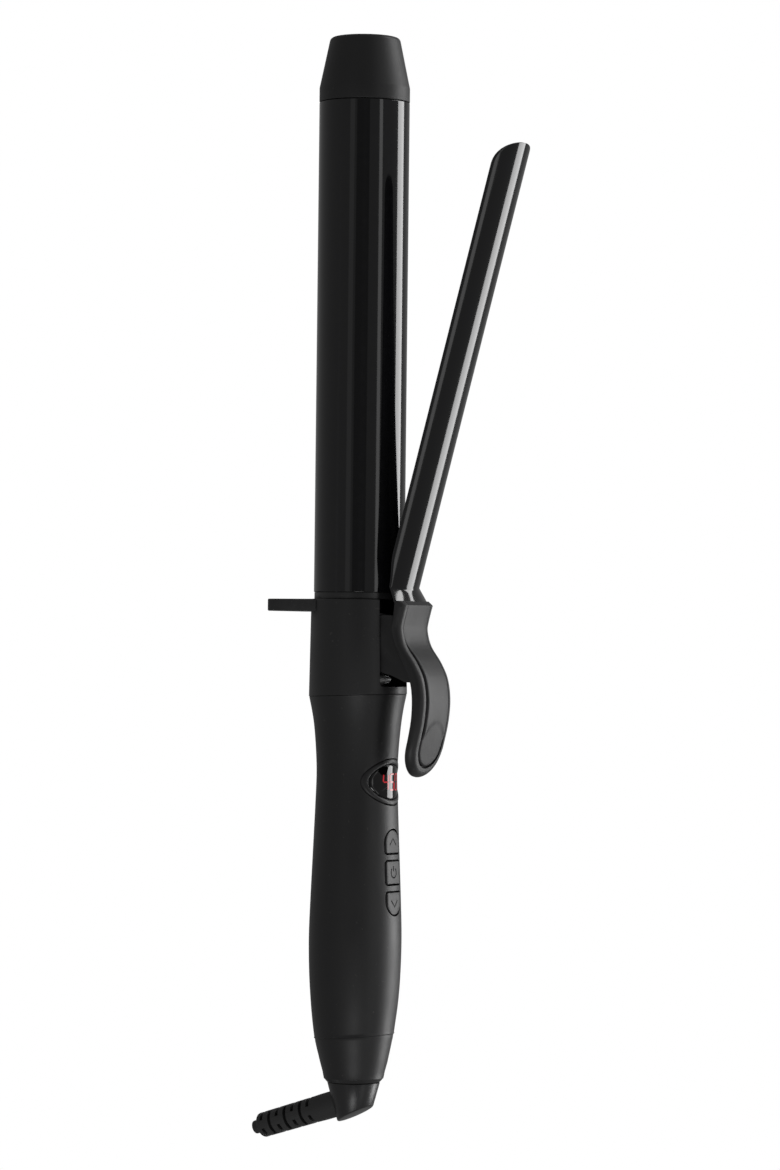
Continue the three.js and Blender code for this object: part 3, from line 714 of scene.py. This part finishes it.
buttonSize = dict(halfWidth=4.6, halfHeight=4.2, groove=0.58, proud=0.12, edge=0.25, corner=0.9,
                  stroke=0.5, iconProud=0.03, ringRadius=1.8, arrowHalfWidth=2.1, arrowHalfHeight=1.15,
                  flatness=0.75, sink=0.4, flange=0.7, flangeFront=11.3, flangeBack=10.4)
# bottom and top of each cap, and which end is a half circle
buttonSpans = {"up": (4.85, 13.05, 1), "power": (-6.1, 2.0, 0), "down": (-17.0, -9.05, -1)}


def buttonOutline(name, grow):
    bottom, top, way = buttonSpans[name]
    half, c = buttonSize["halfWidth"] + grow, buttonSize["corner"] + grow
    bottom, top = bottom - grow, top + grow
    if way == 1:
        points = arc(0, top - half, half, 0, 180, 36)
    else:
        points = arc(half - c, top - c, c, 0, 90, 8) + arc(c - half, top - c, c, 90, 180, 8)
    if way == -1:
        points += arc(0, bottom + half, half, 180, 360, 36)
    else:
        points += arc(c - half, bottom + c, c, 180, 270, 8) + arc(half - c, bottom + c, c, 270, 360, 8)
    return points, (bottom + top) / 2


def onButton(x, z, offset):
    # the face of a cap is flatter than the handle round it
    size = buttonSize
    r = radiusAt(z)
    front = math.sqrt(r * r - x * x) * (1 - size["flatness"]) + (r - size["sink"]) * size["flatness"]
    return (x, -front - offset, z)


def addButton(name, size):
    outline, middle = buttonOutline(name, 0)
    rim, _ = buttonOutline(name, size["flange"])
    edge, proud = size["edge"], size["proud"]
    loops = [[(x, -size[face], z) for x, z in rim] for face in ("flangeBack", "flangeFront")]
    loops.append([(x, -size["flangeFront"], z) for x, z in outline])
    # shares of the cap's width and height, and how far that loop stands out
    shares = [(1 - inset / size["halfWidth"], 1 - inset / size["halfHeight"], offset)
              for inset, offset in ((0, proud - edge), (0.08, proud - 0.08), (edge, proud), (1.2, proud))]
    shares += [(t, t, proud) for t in (0.55, 0.35, 0.15)]
    for wide, tall, offset in shares:
        loops.append([onButton(x * wide, middle + (z - middle) * tall, offset) for x, z in outline])
    cap = addPiece(name + "Button", *bridge(loops), finishes["button"], finishes["icon"])
    tidyMesh(cap, 40)
    addIcon(cap, name, middle, size)
    fit(cap, name + "_button", "button_plastic", name + "_button")


def strokeOn(points, size):
    # a raised line that follows the cap's face
    sections = []
    for i, (x, z) in enumerate(points):
        before, after = points[max(i - 1, 0)], points[min(i + 1, len(points) - 1)]
        dx, dz = after[0] - before[0], after[1] - before[1]
        half = size["stroke"] / 2 / math.hypot(dx, dz)
        sections.append([onButton(x - dz * half * side, z + dx * half * side, size["proud"] + offset)
                         for side, offset in ((1, -0.1), (1, size["iconProud"]), (-1, size["iconProud"]),
                                              (-1, -0.1))])
    return bridge(sections)


def addIcon(cap, name, middle, size):
    if name == "power":
        r = size["ringRadius"]
        ring = [(r * math.sin(math.radians(a)), middle + r * math.cos(math.radians(a)))
                for a in range(40, 321, 14)]
        strokes = [ring, [(0, middle + r * 0.25), (0, middle + r * 1.3)]]
    else:
        wide, rise = size["arrowHalfWidth"], size["arrowHalfHeight"] * buttonSpans[name][2]
        strokes = [[(-wide, middle - rise), (0, middle + rise), (wide, middle - rise)]]
    work = bmesh.new()
    work.from_mesh(cap.data)
    for points in strokes:
        verts, faces = strokeOn(points, size)
        made = [work.verts.new(Vector(v) * mm) for v in verts]
        for face in faces:
            work.faces.new([made[i] for i in face]).material_index = 1
    bmesh.ops.recalc_face_normals(work, faces=work.faces)
    work.to_mesh(cap.data)
    work.free()


addDisplay(displaySize)
addDigits(displaySize)
for buttonName in buttonSpans:
    addButton(buttonName, buttonSize)
print("display and buttons")


# handle shell

def addHandle(size):
    wall, lip, bottom, top = size["wall"], size["lip"], size["bottom"], size["top"] + 0.02
    low, high = waistPoints[0][0] + size["step"], waistPoints[-1][0] - 0.02
    profile = [(low - lip, bottom), (low, bottom + lip), *waistPoints[1:-1], (high, top - lip),
               (high - lip, top), (size["collarSeat"], top), (size["collarSeat"], size["spigotTop"]),
               (size["spigotBore"], size["spigotTop"]), (size["spigotBore"], size["wallTop"])]
    profile += [(r - wall, z) for r, z in waistPoints[::6] if z < 46][::-1]
    shell = lathe("handleShell", profile, finishes["handle"], segments=200, ring=True, shift=handleSlant)
    tidyMesh(shell)
    grow = displaySize["groove"]
    eye = eyeOutline(displaySize["ringHalfWidth"] + grow, displaySize["ringHalfHeight"] + grow)
    combine(shell, tidyMesh(slab("eyeTool", eye, fromFront, 17)))
    for name in buttonSpans:
        outline, _ = buttonOutline(name, buttonSize["groove"])
        combine(shell, tidyMesh(slab("buttonTool", outline, fromFront, 13)))
    # the spigot is open at the front, behind the collar's notch
    half = size["cutWidth"]
    combine(shell, boxTool("lipTool", (-half, -20, size["cutLow"]), (half, size["cutBack"], 70)))
    fit(tidyMesh(shell, 35), "root", "handle_plastic", "handle_shell")


addHandle(handleSize)
print("handle shell")


# collar and rear rest

def addCollar(size, notch):
    bottom, top = size["bottom"], size["top"]
    lean = math.degrees(math.atan2(size["bottomRadius"] - size["topRadius"], top - bottom))
    profile = [(0, bottom), *corner(size["bottomRadius"], bottom, size["lip"], -90, lean, 4),
               *corner(size["topRadius"], top, size["edge"], lean, 90, 6), (0, top)]

    def slant(y, z):
        return -y * handleSize["topSlant"] * smooth((70 - z) / 8)

    collar = tidyMesh(lathe("hingeCollar", profile, finishes["collar"], segments=200, shift=slant))
    half, back, floor, c, wall = (notch[key] for key in ("halfWidth", "back", "floor", "corner", "wall"))
    cavity = rodTool("cavity", size["cavity"], size["cavityLow"], size["cavityTop"])
    combine(cavity, boxTool("liner", (-half - wall, -20, floor - wall), (half + wall, wall - back, top)))
    combine(collar, cavity)
    combine(collar, rodTool("bore", size["bore"], 90, 99))
    outline = [(half, 99), (-half, 99)]
    outline += arc(c - half, floor + c, c, 180, 270) + arc(half - c, floor + c, c, 270, 360)
    combine(collar, tidyMesh(slab("notchTool", outline, fromFront, 20 - back)))
    combine(collar, boxTool("footSlot", *size["footSlot"]))
    tidyMesh(collar, 35)
    # painted shade: the notch's back wall gets the dull, barely reflecting ink finish so it reads dark,
    # like the shade deep in the notch
    collar.data.materials.append(finishes["icon"])
    for face in collar.data.polygons:
        if face.normal.y < -0.99 and abs(face.center.y / mm + back) < 0.05:
            face.material_index = 1
    fit(collar, "root", "collar_plastic", "collar")


footSize = dict(halfWidth=14.5, root=9.2, reach=30.7, corner=3.2, edge=0.45, extra=0.75, seat=17.15,
                tenon=[(-8, 13.9, 92), (8, 18.6, 94)])


def addFoot(size):
    low, high = boxOf("stand_foot")
    w, reach, c = size["halfWidth"], size["reach"], size["corner"]
    bottom = low[2] - size["extra"]
    outline = [(-w, size["root"]), (w, size["root"])]
    outline += arc(w - c, reach - c, c, 0, 90, 9) + arc(c - w, reach - c, c, 90, 180, 9)
    plate = slab("rearRest", outline, lambda x, y, h: (x, y, bottom + h), high[2] - bottom,
                 finishes["collar"])
    tidyMesh(bevelEdges(plate, size["edge"], 3, 50))
    combine(plate, rodTool("plug", size["seat"], 80, 99, segments=200))
    combine(plate, boxTool("tenon", *size["tenon"]), "UNION")
    fit(tidyMesh(plate, 40), "root", "collar_plastic", "stand_foot")


addCollar(collarSize, notchSize)
addFoot(footSize)
print("collar and rear rest")


# clamp and lever

joints = {joint["name"]: joint for joint in frame["record"]["behaviour"]["joints"]}
pivot = [v / mm for v in joints["clamp_hinge"]["pos_m"]]
clampSize = dict(open=15.5, inner=16.4, outer=17.3, tip=263, tipDrop=10, halfArc=43.3, neckHalf=10.7,
                 neckLength=4.7, bendZ=100.4, neckF=20.9, neckZ=95.9, neckCurve=25, neckFlare=1.0,
                 spread=12, edge=0.38, tongue=[(-7, -22.3, 86.6), (7, -21.4, 95.0)])


def openClamp(x, f, z):
    # from the closed clamp's place (f to the front) to the open one's
    a = math.radians(clampSize["open"])
    df, dz = f + pivot[1], z - pivot[2]
    front = df * math.cos(a) + dz * math.sin(a) - pivot[1]
    return (x, -front, pivot[2] + dz * math.cos(a) - df * math.sin(a))


def clampCentre(t, size):
    # along the plate's middle from the neck (t < 0) up to the tip: distance, height, curve radius
    if t >= 0:
        return size["outer"], size["bendZ"] + t, size["outer"]
    share = min(1.0, -t / size["neckLength"])
    bend = share - (1 - math.exp(-share * 9)) / 9 * (1 - share)
    f = size["outer"] + (size["neckF"] - size["outer"]) * (bend * 0.35 + share * 0.65)
    z = size["bendZ"] - (size["bendZ"] - size["neckZ"]) * share
    return f, z, size["outer"] + (size["neckCurve"] - size["outer"]) * share


def addClampPlate(size):
    wall = size["outer"] - size["inner"]
    fullArc = math.radians(size["halfArc"]) * size["outer"]
    length, spread = size["tip"] - size["bendZ"], size["spread"]
    narrow = size["neckHalf"] + 0.55

    def halfAt(t):
        # half width, measured along the curve, at distance t above the bend
        if t < spread:
            flare = size["neckFlare"] * min(1, max(0, -t / size["neckLength"]))
            return narrow + flare + (fullArc - narrow) * smooth((t + 1) / (spread + 1))
        rest = (length - t) / size["tipDrop"]
        return fullArc if rest >= 1 else fullArc * math.sqrt(max(0.0, 1 - (1 - rest) ** 2.2))

    stations = [-size["neckLength"], -4.0, -3.0, -2.0, -1.2, -0.7, -0.35, -0.1, 0.15, 0.5, 1.2, 2.5, 4, 6,
                8, 10, spread]
    stations += [spread + (length - 14 - spread) * i / 22 for i in range(1, 23)]
    stations += [length - size["tipDrop"] * (1 - math.sin(math.radians(4.5 * i))) for i in range(20)]
    turns = [math.radians(k) for k in (30, 60, 90, 120, 150)]
    loops = []
    for t in sorted(set(round(s, 4) for s in stations)):
        half = max(halfAt(t), 0.35)
        f, z, curve = clampCentre(t, size)
        e = min(size["edge"], half * 0.45)
        flat = half - e
        # section through the plate as (distance along the curve, height over it)
        ring = [(flat * (i / 22 - 1), 0.0) for i in range(45)]
        ring += [(flat + e * math.sin(k), -wall / 2 + wall / 2 * math.cos(k)) for k in turns]
        ring += [(flat * (1 - i / 22), -wall) for i in range(45)]
        ring += [(-flat - e * math.sin(k), -wall / 2 - wall / 2 * math.cos(k)) for k in turns]
        loop = []
        for a, h in ring:
            out = (curve + h) * math.cos(a / curve) - curve
            loop.append(openClamp((curve + h) * math.sin(a / curve), f + out, z))
        loops.append(loop)
    plate = tidyMesh(addPiece("clampPlate", *bridge(loops), finishes["clamp"]))
    combine(plate, boxTool("tongue", *size["tongue"]), "UNION")
    fit(tidyMesh(plate, 40), "clamp", "clamp_coating", "clamp_plate")


leverSize = dict(
    halfWidth=11.4, top=94.4, low=32, endRadius=11.5, frontFillet=2.2, backFillet=0.7, topFillet=0.5,
    chamfer=1.5, chamferDepth=2.1, crown=0.9, padInset=3.2, grooveWidth=0.65, grooveTop=81.5, grooveFade=7,
    grooveDepth=1.35, padProud=0.42,
    dish=dict(depth=0.4, middle=38.6, halfWidth=9.0, halfHeight=13.8, edge=0.11),
    # [distance to the front, height] of the front and back faces, clamp open
    front=[(25.7, 94.2), (23.7, 87), (23.4, 83.6), (25.0, 78.4), (29.0, 72.7), (31.8, 67), (32.9, 60),
           (32.4, 52.7), (30.9, 45.5), (28.8, 38), (26.9, 32)],
    back=[(20.9, 94.2), (20.2, 87), (20.0, 83), (21.5, 78), (24.8, 72), (27.4, 66), (28.3, 60),
          (28.1, 53), (26.9, 46), (25.2, 39), (23.7, 32)])


frontOf = profileAt(splinePoints(leverSize["front"], 160))
backOf = profileAt(splinePoints(leverSize["back"], 160))


def leverPath(inset, size):
    # from the top left edge down, round the end and up to the top right edge, moved inwards by inset
    w, h = size["halfWidth"] - inset, size["endRadius"] - inset
    middle, crest = size["low"] + size["endRadius"], size["top"] - size["chamfer"]
    heights = [size["top"], size["top"] - size["chamfer"] / 2]
    heights += [crest - (crest - middle) * i / 58 for i in range(59)]
    turns = [math.radians(6 * i - 90) for i in range(1, 30)]
    end = [(w * math.sin(a), middle - h * math.cos(a)) for a in turns]
    return [(-w, z) for z in heights] + end + [(w, z) for z in reversed(heights)]


def fillet(d, radius):
    # how far a rounded edge falls away at distance d from the rim
    if d >= radius:
        return 0.0
    return radius - math.sqrt(max(0.0, radius ** 2 - (radius - d) ** 2))


def leverSurface(x, z, inset, size, back=False):
    topGap = size["top"] - z
    if back:
        f = backOf(z) + fillet(inset, size["backFillet"]) + fillet(topGap, size["topFillet"])
        return (x, -f, z)
    crest = max(0.0, 1 - topGap / size["chamfer"]) * size["chamferDepth"]
    crown = size["crown"] * (x / size["halfWidth"]) ** 4
    return (x, -(frontOf(z) - crown - fillet(inset, size["frontFillet"]) - crest), z)


def grooveAt(z, size):
    # share of the groove that shows at a height: none at the top, all of it lower down
    return smooth((size["grooveTop"] - z) / size["grooveFade"])


def midRow(size, back=False, sink=lambda z: 0.0):
    # the row a skin ends on: the path folded flat onto the middle of the lever
    row = []
    for _, z in leverPath(size["padInset"], size):
        x, y, z = leverSurface(0, max(z, size["low"] + size["endRadius"]), size["endRadius"], size, back)
        row.append((0, y + sink(z), z))
    return row


def leverRow(d, size, sink=0.0, back=False):
    row = [leverSurface(x, z, d, size, back) for x, z in leverPath(d, size)]
    return [(x, y + sink, z) for x, y, z in row]


def leverSkin(name, rows, finish):
    # skin over rows that all run from the top left to the top right edge, closed at the ends
    skin = addPiece(name, *bridge(rows, closed=False, caps=False), finish)
    closeHoles(skin)
    return skin


def addLever(size):
    inset, depth = size["padInset"], size["grooveDepth"]
    rows = [midRow(size, back=True)]
    rows += [leverRow(d, size, back=True) for d in (9.0, 6.5, 3.5, 1.6, 0.7, 0.35, 0.12)]
    rows += [leverRow(size["frontFillet"] * (1 - math.cos(math.radians(10 * i))), size) for i in range(10)]
    # outer wall of the groove, then the floor under the pad
    for d, sink in ((inset - 0.12, 0.0), (inset, 0.12), (inset, depth), (inset + 1.5, depth),
                    (inset + 4, depth), (9.0, depth)):
        rows.append(leverRow(d, size, sink))
    rows.append(midRow(size, sink=lambda z: depth))
    lever = tidyMesh(leverSkin("leverBody", rows, finishes["lever"]), 40)
    for side in (-1, 1):
        combine(lever, leverCheek(side, cheekSize), "UNION")
    bore = rodTool("bore", cheekSize["bore"], -12, 12, segments=40)
    bore.data.transform(Matrix.Translation(Vector(pivot) * mm) @ Matrix.Rotation(math.pi / 2, 4, "Y"))
    combine(lever, bore)
    fit(tidyMesh(lever, 38), "clamp", "lever_plastic", "lever_body")


cheekSize = dict(inner=6.9, outer=9.1, edge=0.3, bore=1.8, outline=[
    # [distance to the front, height]
    (27.4, 66.2), (26, 65.6), (24.2, 65.7), (21.6, 66.8), (19, 67.9), (17, 68.4), (15.2, 68.9), (13.5, 70),
    (12.1, 71.9), (11, 74.5), (10, 77), (9.3, 79.5), (8.8, 82), (9.1, 84.7), (10.2, 87), (12, 88.6),
    (15, 89.4), (20.6, 89.2), (21.2, 84), (21.6, 81), (23.5, 77), (26.5, 72), (28.4, 66.5)])


def leverCheek(side, size):
    low = -size["outer"] if side < 0 else size["inner"]
    thick = size["outer"] - size["inner"]
    cheek = slab("cheek", size["outline"], lambda f, z, h: (low + h, -f, z), thick)
    return tidyMesh(bevelEdges(cheek, size["edge"], 2, 50))


def addPad(size):
    inset, dish = size["padInset"], size["dish"]

    def hollow(x, z):
        # shallow oval thumb dish in the lower end
        away = math.hypot(x / dish["halfWidth"], (z - dish["middle"]) / dish["halfHeight"])
        return dish["depth"] * smooth((1 - away) / dish["edge"])

    def at(d, sink):
        # the gap round the pad fades out towards the top
        row = []
        for (x, z), (x2, z2) in zip(leverPath(d + 0.03, size), leverPath(d + size["grooveWidth"], size)):
            share = grooveAt(z, size)
            px, py, pz = leverSurface(x + (x2 - x) * share, z + (z2 - z) * share, d, size)
            lift = size["padProud"] * share
            row.append((px, py + sink * (0.05 + 0.95 * share) + hollow(px, pz) - lift, pz))
        return row

    rows = [midRow(size, sink=lambda z: 1.2), [(x, y + 1.2, z) for x, y, z in at(inset, 0)]]
    for d, sink in ((0, 1.05), (0.05, 0.62), (0.16, 0.34), (0.36, 0.13), (0.62, 0.03)):
        rows.append(at(inset + d, sink))
    rows += [at(inset + d, 0) for d in (0.95, 1.4, 1.9, 2.5, 3.2, 4.2, 5.4, 6.6, 7.6)]
    rows.append(midRow(size, sink=lambda z: hollow(0, z) - size["padProud"] * grooveAt(z, size)))
    pad = leverSkin("leverPad", rows, finishes["pad"])
    fit(tidyMesh(pad, 38, 0.000004), "clamp", "lever_plastic", "lever_pad")


addClampPlate(clampSize)
addLever(leverSize)
addPad(leverSize)
print("clamp and lever")


# hinge: spring and stop

springSize = dict(wire=0.45, coil=2.4, halfSpan=3.4, turns=4, lastAngle=54, steps=130,
                  # [y, height] of the leg on the notch's wall and of the one behind the lever
                  wallLeg=[(-9.2, 72.4), (-9.6, 76), (-10, 79.6)], leverLeg=[(-16.3, 82.2), (-19.7, 79.7)])


def addSpring(size):
    # torsion spring round the pin
    start, end = math.pi, math.radians(size["lastAngle"] - 360 * size["turns"])
    half, coil = size["halfSpan"], size["coil"]
    points = [(-half, y, z) for y, z in size["wallLeg"]]
    for i in range(size["steps"] + 1):
        t = i / size["steps"]
        a = start + t * (end - start)
        points.append((half * (2 * t - 1), pivot[1] - coil * math.cos(a), pivot[2] + coil * math.sin(a)))
    points += [(half, y, z) for y, z in size["leverLeg"]]
    curve = bpy.data.curves.new("clampSpring", "CURVE")
    curve.dimensions = "3D"
    curve.bevel_depth = size["wire"] * mm
    curve.bevel_resolution = 4
    curve.use_fill_caps = True
    spline = curve.splines.new("POLY")
    spline.points.add(len(points) - 1)
    for point, place in zip(spline.points, points):
        point.co = (*[v * mm for v in place], 1)
    holder = newObject("springCurve", curve)
    spring = newObject("clampSpring", evaluatedMesh(holder))
    bpy.data.objects.remove(holder)
    spring.data.materials.clear()
    spring.data.materials.append(finishes["spring"])
    tidyMesh(spring, 50)
    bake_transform(spring)
    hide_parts("clamp_spring")


stopSize = dict(radius=2.15, left=-9.4, shoulder=-3.3, right=1.9, neckRadius=1.0, halfStem=1.2)


def addStop(size):
    # rounded rubber pad under the left cheek, held by a thin bar and a stem going back into the wall
    low, high = boxOf("lever_stop")
    r = size["radius"]
    place = Vector((0, low[1] + r, (low[2] + high[2]) / 2))
    left, right, end, neck = size["left"], size["shoulder"], size["right"], size["neckRadius"]
    profile = [(0, left)] + arc(r - 1, left + 1, 1, -90, 0, 6) + arc(r - 0.8, right - 0.8, 0.8, 0, 90, 6)
    profile += [(neck, right), (neck, end - 0.3), (neck - 0.3, end), (0, end)]
    stop = lathe("leverStop", profile, finishes["stop"], segments=48)
    stop.data.transform(Matrix.Translation(place * mm) @ Matrix.Rotation(math.pi / 2, 4, "Y"))
    stem = (high[0] - low[0]) / 2
    low, high = (-stem, place.y, place.z - size["halfStem"]), (stem, high[1], place.z + size["halfStem"])
    combine(tidyMesh(stop), boxTool("stem", low, high), "UNION")
    fit(tidyMesh(stop), "root", "boot_rubber", "lever_stop")


addSpring(springSize)
addStop(stopSize)
print("hinge: spring and stop")


# end cap and swivel

capSize = dict(bottomSlant=0.012, bore=6.5, plug=9.9, plugTop=-56.5, floor=-73.5, shoulder=11.5,
               # [radius, height] of the flank
               flank=[(11.15, -73.2), (11.95, -70.3), (12.6, -67.5), (13.25, -64.6), (13.85, -61.9)])


def addCap(size):
    top = handleSize["bottom"] - 0.02
    bottom = boxOf("end_cap")[0][2]

    def slant(y, z):
        high = -y * handleSize["bottomSlant"] * smooth((z + 72) / 10)
        return high - y * size["bottomSlant"] * smooth((-66 - z) / 8)

    plug, plugTop, shoulder, floor = size["plug"], size["plugTop"], size["shoulder"], size["floor"]
    profile = [(size["bore"], bottom), (9.3, bottom)] + arc(9.35, bottom + 0.2, 0.2, -90, -30, 3)
    profile += [(10.4, bottom + 1.1)] + arc(10.4, bottom + 1.5, 0.3, -35, 8, 4) + size["flank"]
    profile += corner(size["flank"][-1][0] + 0.15, top, 0.15, 5, 90, 4)
    profile += [(shoulder, top), (shoulder, plugTop), (plug, plugTop), (plug, floor), (size["bore"], floor)]
    cap = lathe("endCap", profile, finishes["handle"], segments=180, ring=True, shift=slant)
    fit(tidyMesh(cap, 34), "root", "handle_plastic", "end_cap")


elbowSize = dict(topRadius=9.35, taper=15, slope=26.4, slopeFront=-85.8, slopeAt=6.2, core=5, depth=95,
                 rim=0.55, bearing=6.2, bearingTop=-73.8, coreTop=-60, wireBore=2.6, wireDepth=-81)
bootSize = dict(start=(0, 3, -83.9), drop=17.5, length=36.7, root=4.75, end=4.45, stub=3.0, stubRadius=2.4,
                slits=7, first=13.9, pitch=3.38, width=1.3, depth=1.8, socketDepth=14)


def addElbow(size):
    top, depth, core = boxOf("end_cap")[0][2] - 0.15, size["depth"], size["core"]
    low = size["topRadius"] - (depth + top) * math.tan(math.radians(size["taper"]))
    profile = [(0, -depth), (low, -depth)]
    profile += corner(size["topRadius"], top, 0.2, 0, 90, 3)
    profile += [(size["bearing"], top), (size["bearing"], size["bearingTop"]), (core, size["bearingTop"]),
                (core, size["coreTop"]), (size["wireBore"], size["coreTop"]),
                (size["wireBore"], size["wireDepth"]), (0, size["wireDepth"])]
    elbow = tidyMesh(lathe("swivelElbow", profile, finishes["elbow"]))
    # the underside is cut at a slope
    ends = [(y, size["slopeFront"] - math.tan(math.radians(size["slope"])) * (y + size["slopeAt"]))
            for y in (-20, 20)]
    outline = ends + [(20, -140), (-20, -140)]
    combine(elbow, tidyMesh(slab("below", outline, lambda y, z, h: (-20 + h, y, z), 40)))
    bevelEdges(elbow, size["rim"], 3, 40)
    socket = rodTool("socket", bootSize["root"] + 0.12, 0.2, bootSize["socketDepth"], segments=64)
    socket.data.transform(bootPlace())
    combine(elbow, socket)
    fit(tidyMesh(elbow, 38), "swivel", "elbow_plastic", "swivel_elbow")


def bootPlace():
    turn = Matrix.Rotation(math.radians(-90 - bootSize["drop"]), 4, "X")
    return Matrix.Translation(Vector(bootSize["start"]) * mm) @ turn


def slitTree(material):
    # cuts pairs of arc-shaped slits along +Z, each pair a quarter turn from the last
    tree = bpy.data.node_groups.new("slitRow", "GeometryNodeTree")
    sockets = tree.interface
    sockets.new_socket("Geometry", in_out="INPUT", socket_type="NodeSocketGeometry")
    sockets.new_socket("Slits", in_out="INPUT", socket_type="NodeSocketInt").default_value = 7
    for label, value in (("First", 0.01), ("Pitch", 0.003), ("Width", 0.001), ("Depth", 0.001),
                         ("Radius", 0.004), ("Arc", 2.4)):
        sockets.new_socket(label, in_out="INPUT", socket_type="NodeSocketFloat").default_value = value
    sockets.new_socket("Geometry", in_out="OUTPUT", socket_type="NodeSocketGeometry")

    def add(kind, inputs=None, output=0, **settings):
        return addNode(tree, kind, inputs, **settings).outputs[output]

    given, out = addNode(tree, "NodeGroupInput").outputs, addNode(tree, "NodeGroupOutput")
    start = add("ShaderNodeCombineXYZ", {"Z": given["First"]})
    step = add("ShaderNodeCombineXYZ", {"Z": given["Pitch"]})
    row = add("GeometryNodeMeshLine", {"Count": given["Slits"], "Start Location": start, "Offset": step},
              "Mesh")
    path = add("GeometryNodeCurveArc", {
        "Resolution": 24, "Radius": given["Radius"], "Sweep Angle": given["Arc"],
        "Start Angle": mathNode(tree, "MULTIPLY", given["Arc"], -0.5)}, "Curve")
    section = add("GeometryNodeCurvePrimitiveQuadrilateral", {
        "Width": mathNode(tree, "MULTIPLY", given["Depth"], 2.0), "Height": given["Width"]}, "Curve")
    cutter = add("GeometryNodeCurveToMesh", {"Fill Caps": True, "Curve": path, "Profile Curve": section},
                 "Mesh")
    far = add("GeometryNodeTransform", {"Rotation": (0, 0, math.pi), "Geometry": cutter}, "Geometry")
    pair = addNode(tree, "GeometryNodeJoinGeometry", {"Geometry": cutter})
    setSockets(tree, pair, {"Geometry": far})
    odd = mathNode(tree, "MODULO", add("GeometryNodeInputIndex"), 2.0)
    quarter = mathNode(tree, "MULTIPLY", mathNode(tree, "ADD", odd, 1.0), math.pi / 2)
    turn = add("ShaderNodeCombineXYZ", {"Z": quarter})
    placed = add("GeometryNodeInstanceOnPoints", {
        "Points": row, "Instance": pair.outputs["Geometry"], "Rotation": turn}, "Instances")
    tools = add("GeometryNodeRealizeInstances", {"Geometry": placed}, "Geometry")
    cut = add("GeometryNodeMeshBoolean", {"Mesh 1": given["Geometry"], "Mesh 2": tools}, "Mesh",
              operation="DIFFERENCE", solver="EXACT")
    whole = add("GeometryNodeRealizeInstances", {"Geometry": cut}, "Geometry")
    paint = add("GeometryNodeSetMaterial", {"Material": material, "Geometry": whole}, "Geometry")
    setSockets(tree, out, {"Geometry": paint})
    return tree


def setInputs(modifier, values):
    for item in modifier.node_group.interface.items_tree:
        if item.item_type == "SOCKET" and item.in_out == "INPUT" and item.name in values:
            modifier[item.identifier] = values[item.name]


def addBoot(size):
    root, length, thin = size["root"], size["length"], size["stubRadius"]
    top = length + size["stub"]
    profile = [(0, 0.4), (root, 0.4), (root, 9), (root - 0.12, 13)]
    profile += corner(size["end"], length, 0.9, 4, 90, 6)
    profile += [(thin, length), *corner(thin, top, 0.35, 0, 90, 3), (0, top)]
    boot = tidyMesh(lathe("cordBoot", profile, finishes["boot"], segments=96))
    modifier = boot.modifiers.new("slits", "NODES")
    modifier.node_group = slitTree(finishes["boot"])
    setInputs(modifier, {"Slits": size["slits"], "First": size["first"] * mm, "Pitch": size["pitch"] * mm,
                         "Width": size["width"] * mm, "Depth": size["depth"] * mm, "Radius": root * mm,
                         "Arc": math.radians(140)})
    bake(boot)
    boot.data.transform(bootPlace())
    fit(tidyMesh(boot, 35), "swivel", "boot_rubber", "cord_boot")


addCap(capSize)
addElbow(elbowSize)
addBoot(bootSize)
print("end cap, elbow and boot")


# pieces kept from the frame

keptFinishes = dict(
    oxide=["barrel_mount", "barrel_retainer", "hinge_block"],
    steel=["hinge_pin", "hinge_screw_1", "hinge_screw_2", "clamp_rivet_1", "clamp_rivet_2",
           *[f"board_screw_{number}" for number in range(1, 5)], "swivel_clip", "thermal_fuse"],
    aluminium=["heat_spreader_back", "heat_spreader_front"],
    ceramic=["heater_plate", "thermistor"],
    brass=["brush_live", "brush_neutral", "slip_ring_live", "slip_ring_neutral"],
    carrier=["inner_carrier"],
    board=["control_board"],
    component=["display_module", "up_switch", "power_switch", "down_switch", "capacitor", "triac",
               "transformer"],
    white=["heater_lead_live", "heater_lead_neutral", "sensor_lead", "supply_lead_neutral"],
    red=["supply_lead_live"],
)
for finishName, nodes in keptFinishes.items():
    for node in nodes:
        kept = frame["nodes"][node]
        kept.data.materials.clear()
        kept.data.materials.append(finishes[finishName])
print("kept pieces:", sum(len(nodes) for nodes in keptFinishes.values()))
